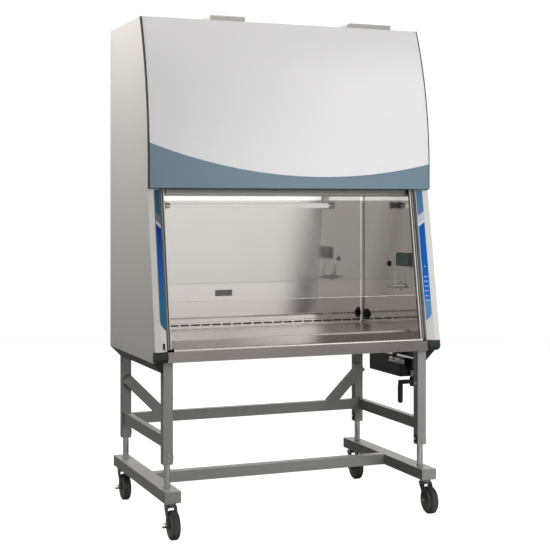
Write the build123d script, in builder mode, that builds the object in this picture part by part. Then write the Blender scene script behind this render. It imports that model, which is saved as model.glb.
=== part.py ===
"""Class II biosafety cabinet on a wheeled lift stand, in millimetres.

Z is up from the floor, X runs to the user's right and Y runs to the back. The origin
lies on the floor, under the middle of the whole footprint. Heights stack up from the
casters: floor, caster, foot tube, bare lift rod, leg tube, cabinet.
"""

import os
from math import cos, radians, sin, sqrt

from build123d import *

os.makedirs("parts", exist_ok=True)

# ----------------------------------------------------------------- driving dimensions
# General
sheet = 2.0  # folded sheet of the cabinet's shell and liner
seat_gap = 0.3  # left between separate pieces that rest on each other
run_fit = 0.05  # radial clearance of a shaft in its bore

# Casters: wheel, fork, stem and brake pedal
tyre_d = 125.0
tyre_w = 32.0
tyre_band = 15.0
tyre_chamfer = 5.0
hub_flange = 6.0
axle_d = 10.0
fork_clear = 3.0
fork_t = 3.0
fork_boss_r = 13.0
crown_t = 9.0
crown_len = 46.0
crown_over_wheel = 6.0
stem_d = 12.0
stem_plate_d = 46.0
stem_plate_t = 5.0
swivel_cup_d = 44.0
caster_h = 154.0
caster_trail = 40.0
stem_inset = 38.0
pedal_t = 4.0
pedal_reach = 32.0
pedal_w = 20.0
pedal_corner_r = 6.0

# Stand: feet, lower rail, rods, legs, rails and braces
foot_len = 864.0
foot_w = 72.5
foot_h = 49.0
foot_wall = 3.0
lower_rail_w = 50.0
lower_rail_y = -17.0
leg_inset = 71.0  # from the cabinet's side to the legs' middle
leg_y = 340.0
leg_size = 43.0
leg_wall = 2.5
leg_len = 442.0
rod_d = 28.0
rod_bare = 102.0
rod_len = 400.0
rod_chamfer = 1.5
guide_len = 45.0
mid_rail_h = 51.0
mid_rail_t = 30.0
mid_rail_lift = 71.0
brace_w = 48.0
brace_rise = 148.5
base_rail_h = 49.0
base_rail_wall = 3.0

# Hand crank pump under the right side
pump_w = 80.0
pump_len = 340.0
pump_h = 90.0
pump_drop = 57.0
pump_y = -7.0
pump_round = 8.0
pump_offset = 22.0  # from the legs' middle out to the pump's middle
strap_t = 4.0
strap_w = 40.0
gear_head_len = 52.0
gear_head_h = 46.0
crank_y = -200.0
crank_inset = 32.5  # from the cabinet's side to the crank's shaft
crank_shaft_d = 16.0
crank_shaft_len = 44.0
crank_hub_d = 32.0
crank_hub_h = 44.0
crank_reach = 68.0
crank_arm_w = 22.0
crank_arm_t = 18.0
grip_d = 25.0
grip_len = 87.0
grip_pin_d = 8.0
grip_chamfer = 3.0

# Cabinet envelope
cab_w = 1379.0
cab_h = 1518.0
cab_back_y = 361.0
panel_flange = 26.5
sill_front_y = -405.0
sill_h = 58.0
cap_h = 50.0
cap_depth = 39.0
cap_round = 20.0

# Hood (front dress panel)
hood_front_y = -307.0
hood_bottom_h = 755.0
hood_straight = 98.0
hood_setback = 129.0
hood_depth = 20.0
gasket_w = 4.5
band_t = 1.5
band_left_h = 198.0
band_middle_h = 53.0
band_right_h = 118.0
band_middle_x = 165.0
hinge_pin_d = 5.0
hinge_knuckle_d = 11.0
hinge_knuckle_len = 40.0
hinge_inset = 239.5  # from the cabinet's side to a hinge's middle
hinge_set_y = 18.0
hinge_set_z = 6.0
hinge_lug_t = 6.0

# Front posts, sash and its tracks
post_w = 58.5  # a post and its half of the side panel together
post_slant = 20.0
post_depth = 60.0
post_over_hood_edge = 58.0
port_w = 13.0
port_h = 28.0
overlay_t = 1.2
overlay_top_h = 748.0
overlay_bottom_h = 140.0
overlay_tip = 55.0
glass_t = 6.0
glass_back = 34.0
glass_open_h = 258.0
glass_len_h = 705.0
glass_clear = 0.4
track_w = 24.5
track_wall = 3.0
track_top_h = 1263.0
track_bite = 17.5  # how far the glass reaches into its track

# Work chamber
chamber_inset = 86.5  # from the cabinet's side to the chamber's wall
chamber_back_y = 243.0
chamber_corner_r = 16.0
chamber_top_h = 724.0
liner_top_h = 753.0
ledge_w = 12.0
ledge_t = 3.0
slot_gap = 8.0  # metal left between two air slots
slot_h = 8.0
slot_margin = 9.0  # left at each end of the row of slots
slot_count = 22
slot_low_h = 91.0
tray_top_h = 86.0
tray_rim = 14.0
tray_dish = 5.0
tray_skirt = 15.0
tray_front_y = -259.0
tray_corner_r = 14.0
thumb_hole_d = 22.0
sill_round = 10.0
sill_flange = 20.0
sill_lip = 12.0
intake_hole_d = 6.0
intake_margin = 8.0  # left at each end of the row of holes
intake_count = 70
pan_front_y = -360.0
pan_rim = 15.0

# Fittings inside the chamber
lamp_d = 26.0
lamp_left_gap = 128.0  # between the left wall and the lamp
lamp_right_gap = 183.0
lamp_drop = 48.0  # from the diffuser down to the lamp's middle
lamp_off_wall = 43.0
lamp_holder_t = 12.0
lamp_holder_r = 18.0
outlet_y = -213.0
outlet_h = 415.5
outlet_w = 122.0
outlet_tall = 57.0
outlet_t = 7.0
outlet_corner_r = 4.0
socket_w = 30.0
cover_t = 6.0
cover_pin_d = 3.0
valve_y = -161.0
valve_h = 289.0
valve_d = 22.0
valve_len = 44.0
valve_flange_d = 40.0
nozzle_d = 10.0
nozzle_len = 26.0
lever_len = 67.0
lever_t = 5.0
lever_d = 14.0
small_plug_y = -54.0
small_plug_h = 392.0
small_plug_d = 26.0
cord_port_y = 195.0
cord_port_h = 125.0
cord_port_d = 54.0
plug_t = 6.0

# Air system behind the hood
filter_front_y = -185.0
filter_h = 75.0
filter_frame = 20.0
fan_y = 62.0
fan_h = 1060.0
fan_d = 250.0
fan_w = 190.0
fan_blades = 24
fan_ring_t = 6.0
blade_depth = 26.0
blade_bow = 7.0  # how far a blade's middle bulges forwards
blade_lean = 35.0
scroll_start_r = 140.0
scroll_growth = 16.0
scroll_w = 230.0
motor_d = 130.0
motor_len = 150.0
motor_shaft_d = 16.0
exhaust_x = -232.0
exhaust_filter_w = 420.0
exhaust_filter_d = 300.0
exhaust_filter_h = 110.0
weight_w = 38.0
weight_depth = 50.0
weight_len = 480.0
weight_y = 85.0
weight_low_h = 503.0
weight_fin = 13.0
weight_chamfer = 3.0

# On the roof
guard_w = 174.0
guard_d = 260.0
guard_h = 45.0
guard_y = 90.0
guard_slots = 7
guard_slot_w = 12.0
box_inset = 51.5  # from the cabinet's side to the box
box_len = 274.0
box_slope = 50.0
box_depth = 240.0
box_y = 120.0
box_h = 49.0
gland_d = 20.0

# ------------------------------------------------------------------ worked-out places
foot_z = caster_h
foot_top = foot_z + foot_h
leg_z = foot_top + rod_bare
cab_z = leg_z + leg_len
cab_top = cab_z + cab_h
half_w = cab_w / 2
leg_x = half_w - leg_inset
wheel_r = tyre_d / 2
stem_y = foot_len / 2 - stem_inset
# The wheels trail to the front, so the footprint reaches further that way.
footprint_front = stem_y + caster_trail + wheel_r
mid_y = (footprint_front - foot_len / 2) / 2

sill_top = cab_z + sill_h
hood_z = cab_z + hood_bottom_h
panel_front_y = hood_front_y + hood_depth
# How far the front leans back for each millimetre of height.
lean = (panel_front_y - sill_front_y) / (hood_z - sill_top)
lean_way = Vector(0, lean, 1).normalized()
hood_bend_z = hood_z + hood_straight
bend_rise = cab_top - hood_bend_z
bend_r = (bend_rise**2 + hood_setback**2) / (2 * hood_setback)
flange_x = half_w - panel_flange
post_in_x = half_w - post_w
hood_half = half_w - gasket_w
chamber_x = half_w - chamber_inset
liner_x = chamber_x + sheet


def front_y(height):
    """Y of the cabinet's leaning front at a height."""
    return sill_front_y + (height - sill_top) * lean


def bend_y(height, inset=0.0):
    """Y of the hood's curved front at a height, or of a line set back from it."""
    radius = bend_r - inset
    return hood_front_y + bend_r - sqrt(radius**2 - (height - hood_bend_z) ** 2)


def level(height):
    """Sketch plane seen from above; extrudes upwards."""
    return Plane(origin=(0, mid_y, height))


def side(x):
    """Sketch plane of Y and Z; extrudes to the right."""
    return Plane(origin=(x, mid_y, 0), x_dir=(0, 1, 0), z_dir=(1, 0, 0))


def facing(y):
    """Sketch plane of X and Z; extrudes to the front."""
    return Plane(origin=(0, mid_y + y, 0), x_dir=(1, 0, 0), z_dir=(0, -1, 0))


def leaning_height(rise):
    """Length along the leaning front that gains this much height."""
    return rise * sqrt(1 + lean**2)


# ============================================================================== STAND
leg_spots = GridLocations(2 * leg_x, 2 * leg_y, 2, 2)

# Two closed foot tubes, each under a front and a rear leg.
with BuildPart() as feet:
    for foot_x in (-leg_x, leg_x):
        with BuildSketch(level(foot_z)):
            with Locations((foot_x, 0)):
                Rectangle(foot_w, foot_len)
        extrude(amount=foot_h)
        with BuildSketch(level(foot_z + foot_wall)):
            with Locations((foot_x, 0)):
                Rectangle(foot_w - 2 * foot_wall, foot_len - 2 * foot_wall)
        extrude(amount=foot_h - 2 * foot_wall, mode=Mode.SUBTRACT)
feet.part.label = "feet"
export_step(feet.part, "parts/feet.step")

# The tube that ties the two feet together.
with BuildPart() as lower_rail:
    with BuildSketch(side(-leg_x + foot_w / 2)):
        with Locations((lower_rail_y, foot_z + foot_h / 2)):
            Rectangle(lower_rail_w, foot_h)
            Rectangle(lower_rail_w - 2 * foot_wall, foot_h - 2 * foot_wall, mode=Mode.SUBTRACT)
    extrude(amount=2 * leg_x - foot_w)
lower_rail.part.label = "lower_rail"
export_step(lower_rail.part, "parts/lower_rail.step")

# Chrome rods stand on the feet; the legs slide on them.
with BuildPart() as lift_rods:
    with BuildSketch(level(foot_top)):
        with leg_spots:
            Circle(rod_d / 2)
    extrude(amount=rod_len)
    chamfer(lift_rods.edges().group_by(Axis.Z)[-1], rod_chamfer)
lift_rods.part.label = "lift_rods"
export_step(lift_rods.part, "parts/lift_rods.step")

# Square leg tubes, open at the bottom where the guides sit.
with BuildPart() as leg_tubes:
    with BuildSketch(level(leg_z)):
        with leg_spots:
            Rectangle(leg_size, leg_size)
            Rectangle(leg_size - 2 * leg_wall, leg_size - 2 * leg_wall, mode=Mode.SUBTRACT)
    extrude(amount=leg_len)
leg_tubes.part.label = "leg_tubes"
export_step(leg_tubes.part, "parts/leg_tubes.step")

# Plastic guides pressed into the legs' lower ends, with a running bore for the rods.
with BuildPart() as rod_guides:
    with BuildSketch(level(leg_z)):
        with leg_spots:
            Rectangle(leg_size - 2 * leg_wall - seat_gap, leg_size - 2 * leg_wall - seat_gap)
            Circle(rod_d / 2 + run_fit, mode=Mode.SUBTRACT)
    extrude(amount=guide_len)
rod_guides.part.label = "rod_guides"
export_step(rod_guides.part, "parts/rod_guides.step")

# Side rails between the front and rear legs, and one rail along the back.
rail_z = leg_z + mid_rail_lift
rail_reach = leg_y - leg_size / 2
with BuildPart() as mid_rails:
    for rail_x in (-leg_x, leg_x):
        with BuildSketch(facing(rail_reach)):
            with Locations((rail_x, rail_z + mid_rail_h / 2)):
                Rectangle(mid_rail_t, mid_rail_h)
                Rectangle(mid_rail_t - 2 * leg_wall, mid_rail_h - 2 * leg_wall, mode=Mode.SUBTRACT)
        extrude(amount=2 * rail_reach)
    back_rail_x = leg_x - mid_rail_t / 2
    with BuildSketch(side(-back_rail_x)):
        with Locations((rail_reach - mid_rail_t / 2, rail_z + mid_rail_h / 2)):
            Rectangle(mid_rail_t, mid_rail_h)
            Rectangle(mid_rail_t - 2 * leg_wall, mid_rail_h - 2 * leg_wall, mode=Mode.SUBTRACT)
    extrude(amount=2 * back_rail_x)
mid_rails.part.label = "mid_rails"
export_step(mid_rails.part, "parts/mid_rails.step")

# Diagonal braces from the back rail up to the front of the rear legs.
brace_foot_z = rail_z + mid_rail_h
brace_end_x = leg_x + leg_size / 2
brace_top_z = brace_foot_z + brace_rise
brace_step = brace_w / sqrt(2)
with BuildPart() as diagonal_braces:
    with BuildSketch(facing(rail_reach)):
        with BuildLine():
            Polyline(
                (brace_end_x - brace_rise, brace_foot_z),
                (brace_end_x, brace_top_z),
                (brace_end_x - brace_step, brace_top_z + brace_step),
                (brace_end_x - brace_rise - 2 * brace_step, brace_foot_z),
                close=True,
            )
        make_face()
        mirror(about=Plane.YZ)
    extrude(amount=mid_rail_t)
diagonal_braces.part.label = "diagonal_braces"
export_step(diagonal_braces.part, "parts/diagonal_braces.step")

# Black tapered rails along the cabinet's lower sides, outside the legs. They are hollow
# with closed ends.
base_rail_x = leg_x + leg_size / 2 + seat_gap
base_rail_top = cab_z - seat_gap
base_rail_front_y = -leg_y - leg_size / 2 + 2 * seat_gap
base_rail_len = cab_back_y - base_rail_front_y
with BuildPart() as base_rails:
    with BuildSketch(facing(cab_back_y)) as rail_section:
        with BuildLine():
            Polyline(
                (base_rail_x, base_rail_top),
                (base_rail_x, base_rail_top - base_rail_h),
                (half_w, base_rail_top),
                close=True,
            )
        make_face()
    extrude(amount=base_rail_len)
    with BuildSketch(facing(cab_back_y - base_rail_wall)):
        add(rail_section.sketch_local.faces())
        offset(amount=-base_rail_wall, kind=Kind.INTERSECTION)
    extrude(amount=base_rail_len - 2 * base_rail_wall, mode=Mode.SUBTRACT)
    mirror(about=Plane.YZ)
base_rails.part.label = "base_rails"
export_step(base_rails.part, "parts/base_rails.step")


# ============================================================================ CASTERS
crown_z = tyre_d + crown_over_wheel
stem_spots = GridLocations(2 * leg_x, 2 * stem_y, 2, 2)

# Threaded stems with their plates, fixed under the feet, and a nut under each crown.
nut_t = crown_over_wheel / 2
with BuildPart() as caster_stems:
    with BuildSketch(level(foot_z)):
        with stem_spots:
            Circle(stem_plate_d / 2)
    extrude(amount=-stem_plate_t)
    with BuildSketch(level(foot_z)):
        with stem_spots:
            Circle(stem_d / 2)
    extrude(amount=-(foot_z - crown_z + nut_t))
    with BuildSketch(level(crown_z - seat_gap)):
        with stem_spots:
            RegularPolygon(stem_d * 0.8, 6)
    extrude(amount=-(nut_t - seat_gap))
caster_stems.part.label = "caster_stems"
export_step(caster_stems.part, "parts/caster_stems.step")

fork_in = tyre_w / 2 + fork_clear
fork_out = fork_in + fork_t
pedal_x = fork_out + seat_gap
boss_end = pedal_x + pedal_t + seat_gap
cup_top = foot_z - stem_plate_t - seat_gap


def make_caster(place, x, y):
    """Fork, pedal, hub and tyre of one caster, whose stem stands at x, y."""
    axle_y = y - caster_trail
    with BuildPart() as fork:
        for leg_side in (-fork_out, fork_in):
            with BuildSketch(side(x + leg_side)):
                with Locations((y, crown_z + crown_t / 2)):
                    Rectangle(crown_len, crown_t)
                with Locations((axle_y, wheel_r)):
                    Circle(fork_boss_r)
                make_hull()
            extrude(amount=fork_t)
        with BuildSketch(level(crown_z)):
            with Locations((x, y)):
                Rectangle(2 * fork_out, crown_len)
        extrude(amount=crown_t)
        with BuildSketch(level(crown_z)):
            with Locations((x, y)):
                Circle(swivel_cup_d / 2)
        extrude(amount=cup_top - crown_z)
        with BuildSketch(level(crown_z)):
            with Locations((x, y)):
                Circle(stem_d / 2 + run_fit)
        extrude(amount=cup_top - crown_z, mode=Mode.SUBTRACT)
        with BuildSketch(side(x - boss_end)):
            with Locations((axle_y, wheel_r)):
                Circle(axle_d / 2)
        extrude(amount=boss_end + fork_out + fork_t)
        for cap_x in (-boss_end - fork_t, fork_out):
            with BuildSketch(side(x + cap_x)):
                with Locations((axle_y, wheel_r)):
                    RegularPolygon(axle_d * 0.85, 6)
            extrude(amount=fork_t)
    fork.part.label = f"{place}_fork"
    export_step(fork.part, f"parts/{place}_fork.step")

    with BuildPart() as pedal:
        with BuildSketch(side(x - pedal_x)):
            with Locations((axle_y, wheel_r)):
                Circle(fork_boss_r)
            with Locations((axle_y - fork_boss_r, wheel_r)):
                Rectangle(2 * fork_boss_r, pedal_w * 0.6)
            with Locations((axle_y, wheel_r)):
                Circle(axle_d / 2 + run_fit, mode=Mode.SUBTRACT)
        extrude(amount=-pedal_t)
        with BuildSketch(level(wheel_r - pedal_t / 2)):
            with Locations((x - pedal_x - pedal_reach / 2, axle_y - 1.5 * fork_boss_r)):
                RectangleRounded(pedal_reach, pedal_w, pedal_corner_r)
        extrude(amount=pedal_t)
    pedal.part.label = f"{place}_pedal"
    export_step(pedal.part, f"parts/{place}_pedal.step")

    hub_r = wheel_r - tyre_band
    with BuildPart() as hub:
        with BuildSketch(side(x - tyre_w / 2)):
            with Locations((axle_y, wheel_r)):
                Circle(hub_r)
                Circle(hub_r - hub_flange, mode=Mode.SUBTRACT)
        extrude(amount=tyre_w)
        with BuildSketch(side(x - hub_flange / 2)):
            with Locations((axle_y, wheel_r)):
                Circle(hub_r)
        extrude(amount=hub_flange)
        with BuildSketch(side(x - fork_in + seat_gap)):
            with Locations((axle_y, wheel_r)):
                Circle(axle_d)
        extrude(amount=2 * (fork_in - seat_gap))
        with BuildSketch(side(x - fork_in)):
            with Locations((axle_y, wheel_r)):
                Circle(axle_d / 2 + run_fit)
        extrude(amount=2 * fork_in, mode=Mode.SUBTRACT)
    hub.part.label = f"{place}_hub"
    export_step(hub.part, f"parts/{place}_hub.step")

    with BuildPart() as tyre:
        with BuildSketch(side(x - tyre_w / 2)):
            with Locations((axle_y, wheel_r)):
                Circle(wheel_r)
        extrude(amount=tyre_w)
        chamfer(tyre.edges(), tyre_chamfer)
        with BuildSketch(side(x - tyre_w / 2)):
            with Locations((axle_y, wheel_r)):
                Circle(hub_r)
        extrude(amount=tyre_w, mode=Mode.SUBTRACT)
    tyre.part.label = f"{place}_tyre"
    export_step(tyre.part, f"parts/{place}_tyre.step")


make_caster("front_left", -leg_x, -stem_y)
make_caster("front_right", leg_x, -stem_y)
make_caster("rear_left", -leg_x, stem_y)
make_caster("rear_right", leg_x, stem_y)


# ======================================================================= LIFTING PUMP
# Hydraulic hand pump, hung from the cabinet's floor by two straps, with a gear head at
# its front that takes the crank's shaft.
pump_top = cab_z - pump_drop
pump_x = leg_x + pump_offset
crank_x = half_w - crank_inset
pump_front_y = pump_y - pump_len / 2
shaft_top = pump_top - gear_head_h
with BuildPart() as lift_pump:
    with BuildSketch(level(pump_top - pump_h)):
        with Locations((pump_x, pump_y)):
            RectangleRounded(pump_w, pump_len, pump_round)
    extrude(amount=pump_h)
    with BuildSketch(level(shaft_top)):
        with Locations((crank_x, pump_front_y - gear_head_len / 2 + pump_round)):
            Rectangle(pump_w / 2, gear_head_len + 2 * pump_round)
    extrude(amount=gear_head_h)
    with BuildSketch(level(shaft_top)):
        with Locations((crank_x, crank_y)):
            Circle(crank_shaft_d / 2 + run_fit)
    extrude(amount=gear_head_h / 2, mode=Mode.SUBTRACT)
    for strap_y in (pump_y - pump_len / 4, pump_y + pump_len / 4):
        with BuildSketch(level(pump_top)):
            with Locations((leg_x - strap_t, strap_y)):
                Rectangle(strap_t, strap_w)
        extrude(amount=pump_drop - seat_gap)
        with BuildSketch(level(cab_z - seat_gap)):
            with Locations((leg_x - strap_t, strap_y)):
                Rectangle(leg_size / 2, strap_w)
        extrude(amount=-strap_t)
lift_pump.part.label = "lift_pump"
export_step(lift_pump.part, "parts/lift_pump.step")

# Crank: a steel shaft that hangs from the gear head, a hub, a flat arm and the grip's pin.
hub_top = shaft_top - crank_shaft_len
arm_z = hub_top - crank_hub_h / 2
grip_x = crank_x - crank_reach
with BuildPart() as crank:
    with BuildSketch(level(hub_top)):
        with Locations((crank_x, crank_y)):
            Circle(crank_shaft_d / 2)
    extrude(amount=crank_shaft_len + gear_head_h / 2 - seat_gap)
    with BuildSketch(level(hub_top)):
        with Locations((crank_x, crank_y)):
            Circle(crank_hub_d / 2)
    extrude(amount=-crank_hub_h)
    with BuildSketch(level(arm_z - crank_arm_t / 2)):
        with Locations(((crank_x + grip_x) / 2, crank_y)):
            SlotCenterToCenter(crank_reach, crank_arm_w)
    extrude(amount=crank_arm_t)
    with BuildSketch(level(arm_z - crank_arm_t / 2)):
        with Locations((grip_x, crank_y)):
            Circle(grip_pin_d / 2)
    extrude(amount=-(grip_len + 2 * seat_gap))
    with BuildSketch(level(arm_z - crank_arm_t / 2 - grip_len - 2 * seat_gap)):
        with Locations((grip_x, crank_y)):
            Circle(grip_pin_d)
    extrude(amount=-fork_t)
crank.part.label = "crank"
export_step(crank.part, "parts/crank.step")

# The grip turns on the crank's pin.
with BuildPart() as crank_grip:
    with BuildSketch(level(arm_z - crank_arm_t / 2 - seat_gap)):
        with Locations((grip_x, crank_y)):
            Circle(grip_d / 2)
    extrude(amount=-grip_len)
    chamfer(crank_grip.edges(), grip_chamfer)
    with BuildSketch(level(arm_z - crank_arm_t / 2)):
        with Locations((grip_x, crank_y)):
            Circle(grip_pin_d / 2 + run_fit)
    extrude(amount=-2 * grip_len, mode=Mode.SUBTRACT)
crank_grip.part.label = "crank_grip"
export_step(crank_grip.part, "parts/crank_grip.step")


# =================================================================== CABINET'S SHELL
cap_top = cab_z + cap_h
notch_y = front_y(cap_top) + cap_depth


def side_outline(inset):
    """Outline of a side panel, drawn inset from its edge; its x and y are Y and Z."""
    back = cab_back_y - inset
    front_line = panel_front_y + inset
    top = cab_top - inset
    notch = notch_y - cap_round
    corner = cap_round + inset
    slant = corner / sqrt(2)
    round_z = cap_top - cap_round
    with BuildSketch(mode=Mode.PRIVATE) as outline:
        with BuildLine():
            upright = Line((front_line, hood_z), (front_line, hood_bend_z))
            bend_end = (bend_y(top, hood_depth + inset), top)
            bend = TangentArc(upright @ 1, bend_end, tangent=(0, 1))
            Polyline(
                bend @ 1,
                (back, top),
                (back, cab_z + inset),
                (notch + corner, cab_z + inset),
                (notch + corner, round_z),
            )
            ThreePointArc(
                (notch + corner, round_z),
                (notch + slant, round_z + slant),
                (notch, round_z + corner),
            )
            Polyline(
                (notch, round_z + corner),
                (front_y(round_z + corner) + inset, round_z + corner),
                upright @ 0,
            )
        make_face()
    return outline.sketch


# Side panels are shallow trays of folded sheet with a rim all round. Two fins inside
# each one guide a sash counterweight.
panel_outline = side_outline(0)
panel_pocket = side_outline(sheet)
weight_x = liner_x + weight_fin + weight_w / 2
fin_x = weight_x + weight_w / 2 - weight_fin
fin_low = sill_top
fin_high = cab_top - 2 * cap_h
with BuildPart() as right_side_panel:
    with BuildSketch(side(flange_x)):
        add(panel_outline)
    extrude(amount=panel_flange)
    with BuildSketch(side(flange_x)):
        add(panel_pocket)
    extrude(amount=panel_flange - sheet, mode=Mode.SUBTRACT)
    for fin_side in (-1, 1):
        fin_mid = weight_y + fin_side * (weight_depth / 2 + glass_clear + sheet / 2)
        with BuildSketch(facing(fin_mid - sheet / 2)):
            with Locations(((fin_x + half_w - sheet) / 2, (fin_low + fin_high) / 2)):
                Rectangle(half_w - sheet - fin_x, fin_high - fin_low)
        extrude(amount=-sheet)
right_side_panel.part.label = "right_side_panel"
export_step(right_side_panel.part, "parts/right_side_panel.step")

with BuildPart() as left_side_panel:
    mirror(right_side_panel.part, about=Plane.YZ)
left_side_panel.part.label = "left_side_panel"
export_step(left_side_panel.part, "parts/left_side_panel.step")

# Back panel between the side panels' rims.
inner_half = flange_x - seat_gap
with BuildPart() as back_panel:
    with BuildSketch(facing(cab_back_y)):
        with Locations((0, (cab_z + cab_top - sheet) / 2)):
            Rectangle(2 * inner_half, cab_h - sheet - 2 * seat_gap)
    extrude(amount=sheet)
back_panel.part.label = "back_panel"
export_step(back_panel.part, "parts/back_panel.step")

# Roof with a turned-down front edge and the exhaust opening.
pin_y = bend_y(cab_top, hood_depth) + hinge_set_y
pin_z = cab_top - hinge_set_z
roof_front_y = pin_y + hinge_knuckle_d / 2 + sheet
roof_depth = cab_back_y - roof_front_y
with BuildPart() as top_panel:
    with BuildSketch(level(cab_top - sheet)):
        with Locations((0, (roof_front_y + cab_back_y) / 2)):
            Rectangle(2 * inner_half, roof_depth)
        with Locations((exhaust_x, guard_y)):
            Rectangle(guard_w - 4 * sheet, guard_d - 4 * sheet, mode=Mode.SUBTRACT)
    extrude(amount=sheet)
    with BuildSketch(facing(roof_front_y)):
        with Locations((0, cab_top - panel_flange / 2)):
            Rectangle(2 * inner_half, panel_flange)
    extrude(amount=-sheet)
top_panel.part.label = "top_panel"
export_step(top_panel.part, "parts/top_panel.step")

# Drain pan: the cabinet's floor, turned up all round. It stands on the legs.
pan_back_y = cab_back_y - sheet - seat_gap
pan_depth = pan_back_y - pan_front_y
with BuildPart() as drain_pan:
    with BuildSketch(level(cab_z)):
        with Locations((0, (pan_front_y + pan_back_y) / 2)):
            Rectangle(2 * inner_half, pan_depth)
    extrude(amount=pan_rim)
    with BuildSketch(level(cab_z + sheet)):
        with Locations((0, (pan_front_y + pan_back_y) / 2)):
            Rectangle(2 * (inner_half - sheet), pan_depth - 2 * sheet)
    extrude(amount=pan_rim, mode=Mode.SUBTRACT)
drain_pan.part.label = "drain_pan"
export_step(drain_pan.part, "parts/drain_pan.step")

# Front sill: one folded stainless sheet that rises from its lower flange, rounds over
# and slopes back to the work surface, with a row of air intake holes along its edge.
# The holes go through the rounded edge, and have eight sides, so that they stay light.
intake_pitch = 2 * (chamber_x - intake_margin) / intake_count
sill_y = sill_front_y + 2 * sheet
sill_back_y = tray_front_y - seat_gap
lip_z = cab_z + tray_top_h - 2 * sheet
sill_points = [
    (sill_y + sill_flange, cab_z + sheet),
    (sill_y, cab_z + sheet),
    (sill_y, sill_top),
    (sill_back_y, lip_z),
    (sill_back_y, lip_z - sill_lip),
]
with BuildPart() as front_sill:
    with BuildSketch(side(-chamber_x + seat_gap)):
        with BuildLine():
            FilletPolyline(*sill_points, radius=[sheet, sill_round, sheet])
            offset(amount=sheet, side=Side.RIGHT)
        make_face()
    extrude(amount=2 * (chamber_x - seat_gap))
    with BuildSketch(facing(sill_y)):
        with Locations((0, (cab_z + sill_top - sill_round + sheet) / 2)):
            Rectangle(2 * (post_in_x - seat_gap), sill_top - sill_round - cab_z - sheet)
    extrude(amount=-sheet)
    with BuildSketch(level(cab_z + pan_rim)):
        with Locations((0, sill_y + sill_round / 2)):
            with GridLocations(intake_pitch, 0, intake_count, 1):
                RegularPolygon(intake_hole_d / 2, 8)
    extrude(amount=cab_h / 4, mode=Mode.SUBTRACT)
front_sill.part.label = "front_sill"
export_step(front_sill.part, "parts/front_sill.step")

# Moulded black caps that close the side panels' lower front corners, rounded to the
# panels' notch and cut back under the front.
cap_face_z = cap_top - seat_gap
with BuildPart() as post_caps:
    with BuildSketch(side(post_in_x)):
        with BuildLine():
            back_edge = Line(
                (notch_y - seat_gap, cab_z + sheet),
                (notch_y - seat_gap, cap_top - cap_round),
            )
            back_round = TangentArc(
                back_edge @ 1,
                (notch_y - cap_round, cap_face_z),
                tangent=(0, 1),
            )
            Polyline(
                back_round @ 1,
                (front_y(cap_face_z), cap_face_z),
                (front_y(cab_z + cap_round), cab_z + cap_round),
                (front_y(cab_z) + cap_round, cab_z + sheet),
                back_edge @ 0,
            )
        make_face()
    extrude(amount=half_w - post_in_x)
    fillet(post_caps.edges().filter_by(Axis.Y).group_by(Axis.X)[-1].sort_by(Axis.Z)[0], cap_round / 2)
    mirror(about=Plane.YZ)
post_caps.part.label = "post_caps"
export_step(post_caps.part, "parts/post_caps.step")


# ============================================================ FRONT POSTS, SASH, TRACKS
post_z = cap_top
post_top = hood_z + post_over_hood_edge
post_way = leaning_height(post_top - post_z)


def leaning_section(height, corners):
    """Face at a height from corners given as X and distance behind the front."""
    with BuildSketch(level(height)) as section:
        with BuildLine():
            Polyline(*[(x, front_y(height) + back) for x, back in corners], close=True)
        make_face()
    return section.sketch


# Hollow posts whose inner front face is slanted towards the user. The left one has a
# small rectangular port low on its front.
post_corners = [
    (inner_half, 0),
    (post_in_x, post_slant),
    (post_in_x, post_depth),
    (inner_half, post_depth),
]
post_section = leaning_section(post_z, post_corners)
with BuildPart() as front_posts:
    add(post_section)
    extrude(amount=post_way, dir=lean_way)
    with BuildSketch(level(post_z)):
        add(post_section.moved(Location((0, -mid_y, -post_z))))
        offset(amount=-sheet, kind=Kind.INTERSECTION)
    extrude(amount=post_way, dir=lean_way, mode=Mode.SUBTRACT)
    mirror(about=Plane.YZ)
    port_x = (inner_half + post_in_x) / 2
    with BuildSketch(facing(sill_front_y + post_depth / 2)):
        with Locations((-port_x, sill_top + port_h / 2)):
            Rectangle(port_w, port_h)
    extrude(amount=post_depth, mode=Mode.SUBTRACT)
front_posts.part.label = "front_posts"
export_step(front_posts.part, "parts/front_posts.step")


# Printed overlays on the posts' slanted faces, running out to a tip at the bottom. The
# right one is the control panel.
overlay_low = cab_z + overlay_bottom_h
overlay_high = cab_z + overlay_top_h
overlay_corners = [
    (inner_half - overlay_t, overlay_t / 2 - seat_gap),
    (inner_half - overlay_t, -overlay_t),
    (post_in_x, post_slant - seat_gap - 2 * overlay_t),
    (post_in_x, post_slant - seat_gap),
]
overlay_section = leaning_section(overlay_low, overlay_corners)
with BuildPart() as control_panel:
    add(overlay_section)
    extrude(amount=leaning_height(overlay_high - overlay_low), dir=lean_way)
    with BuildSketch(facing(0)):
        with BuildLine():
            edge = Line((inner_half, overlay_high), (inner_half, overlay_low + overlay_tip))
            tip = TangentArc(edge @ 1, (post_in_x + overlay_t, overlay_low), tangent=(0, -1))
            Polyline(tip @ 1, (post_in_x, overlay_low), (post_in_x, overlay_high), edge @ 0)
        make_face()
    extrude(amount=cab_h, mode=Mode.INTERSECT)
control_panel.part.label = "control_panel"
export_step(control_panel.part, "parts/control_panel.step")

with BuildPart() as left_overlay:
    mirror(control_panel.part, about=Plane.YZ)
left_overlay.part.label = "left_overlay"
export_step(left_overlay.part, "parts/left_overlay.step")

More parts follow.
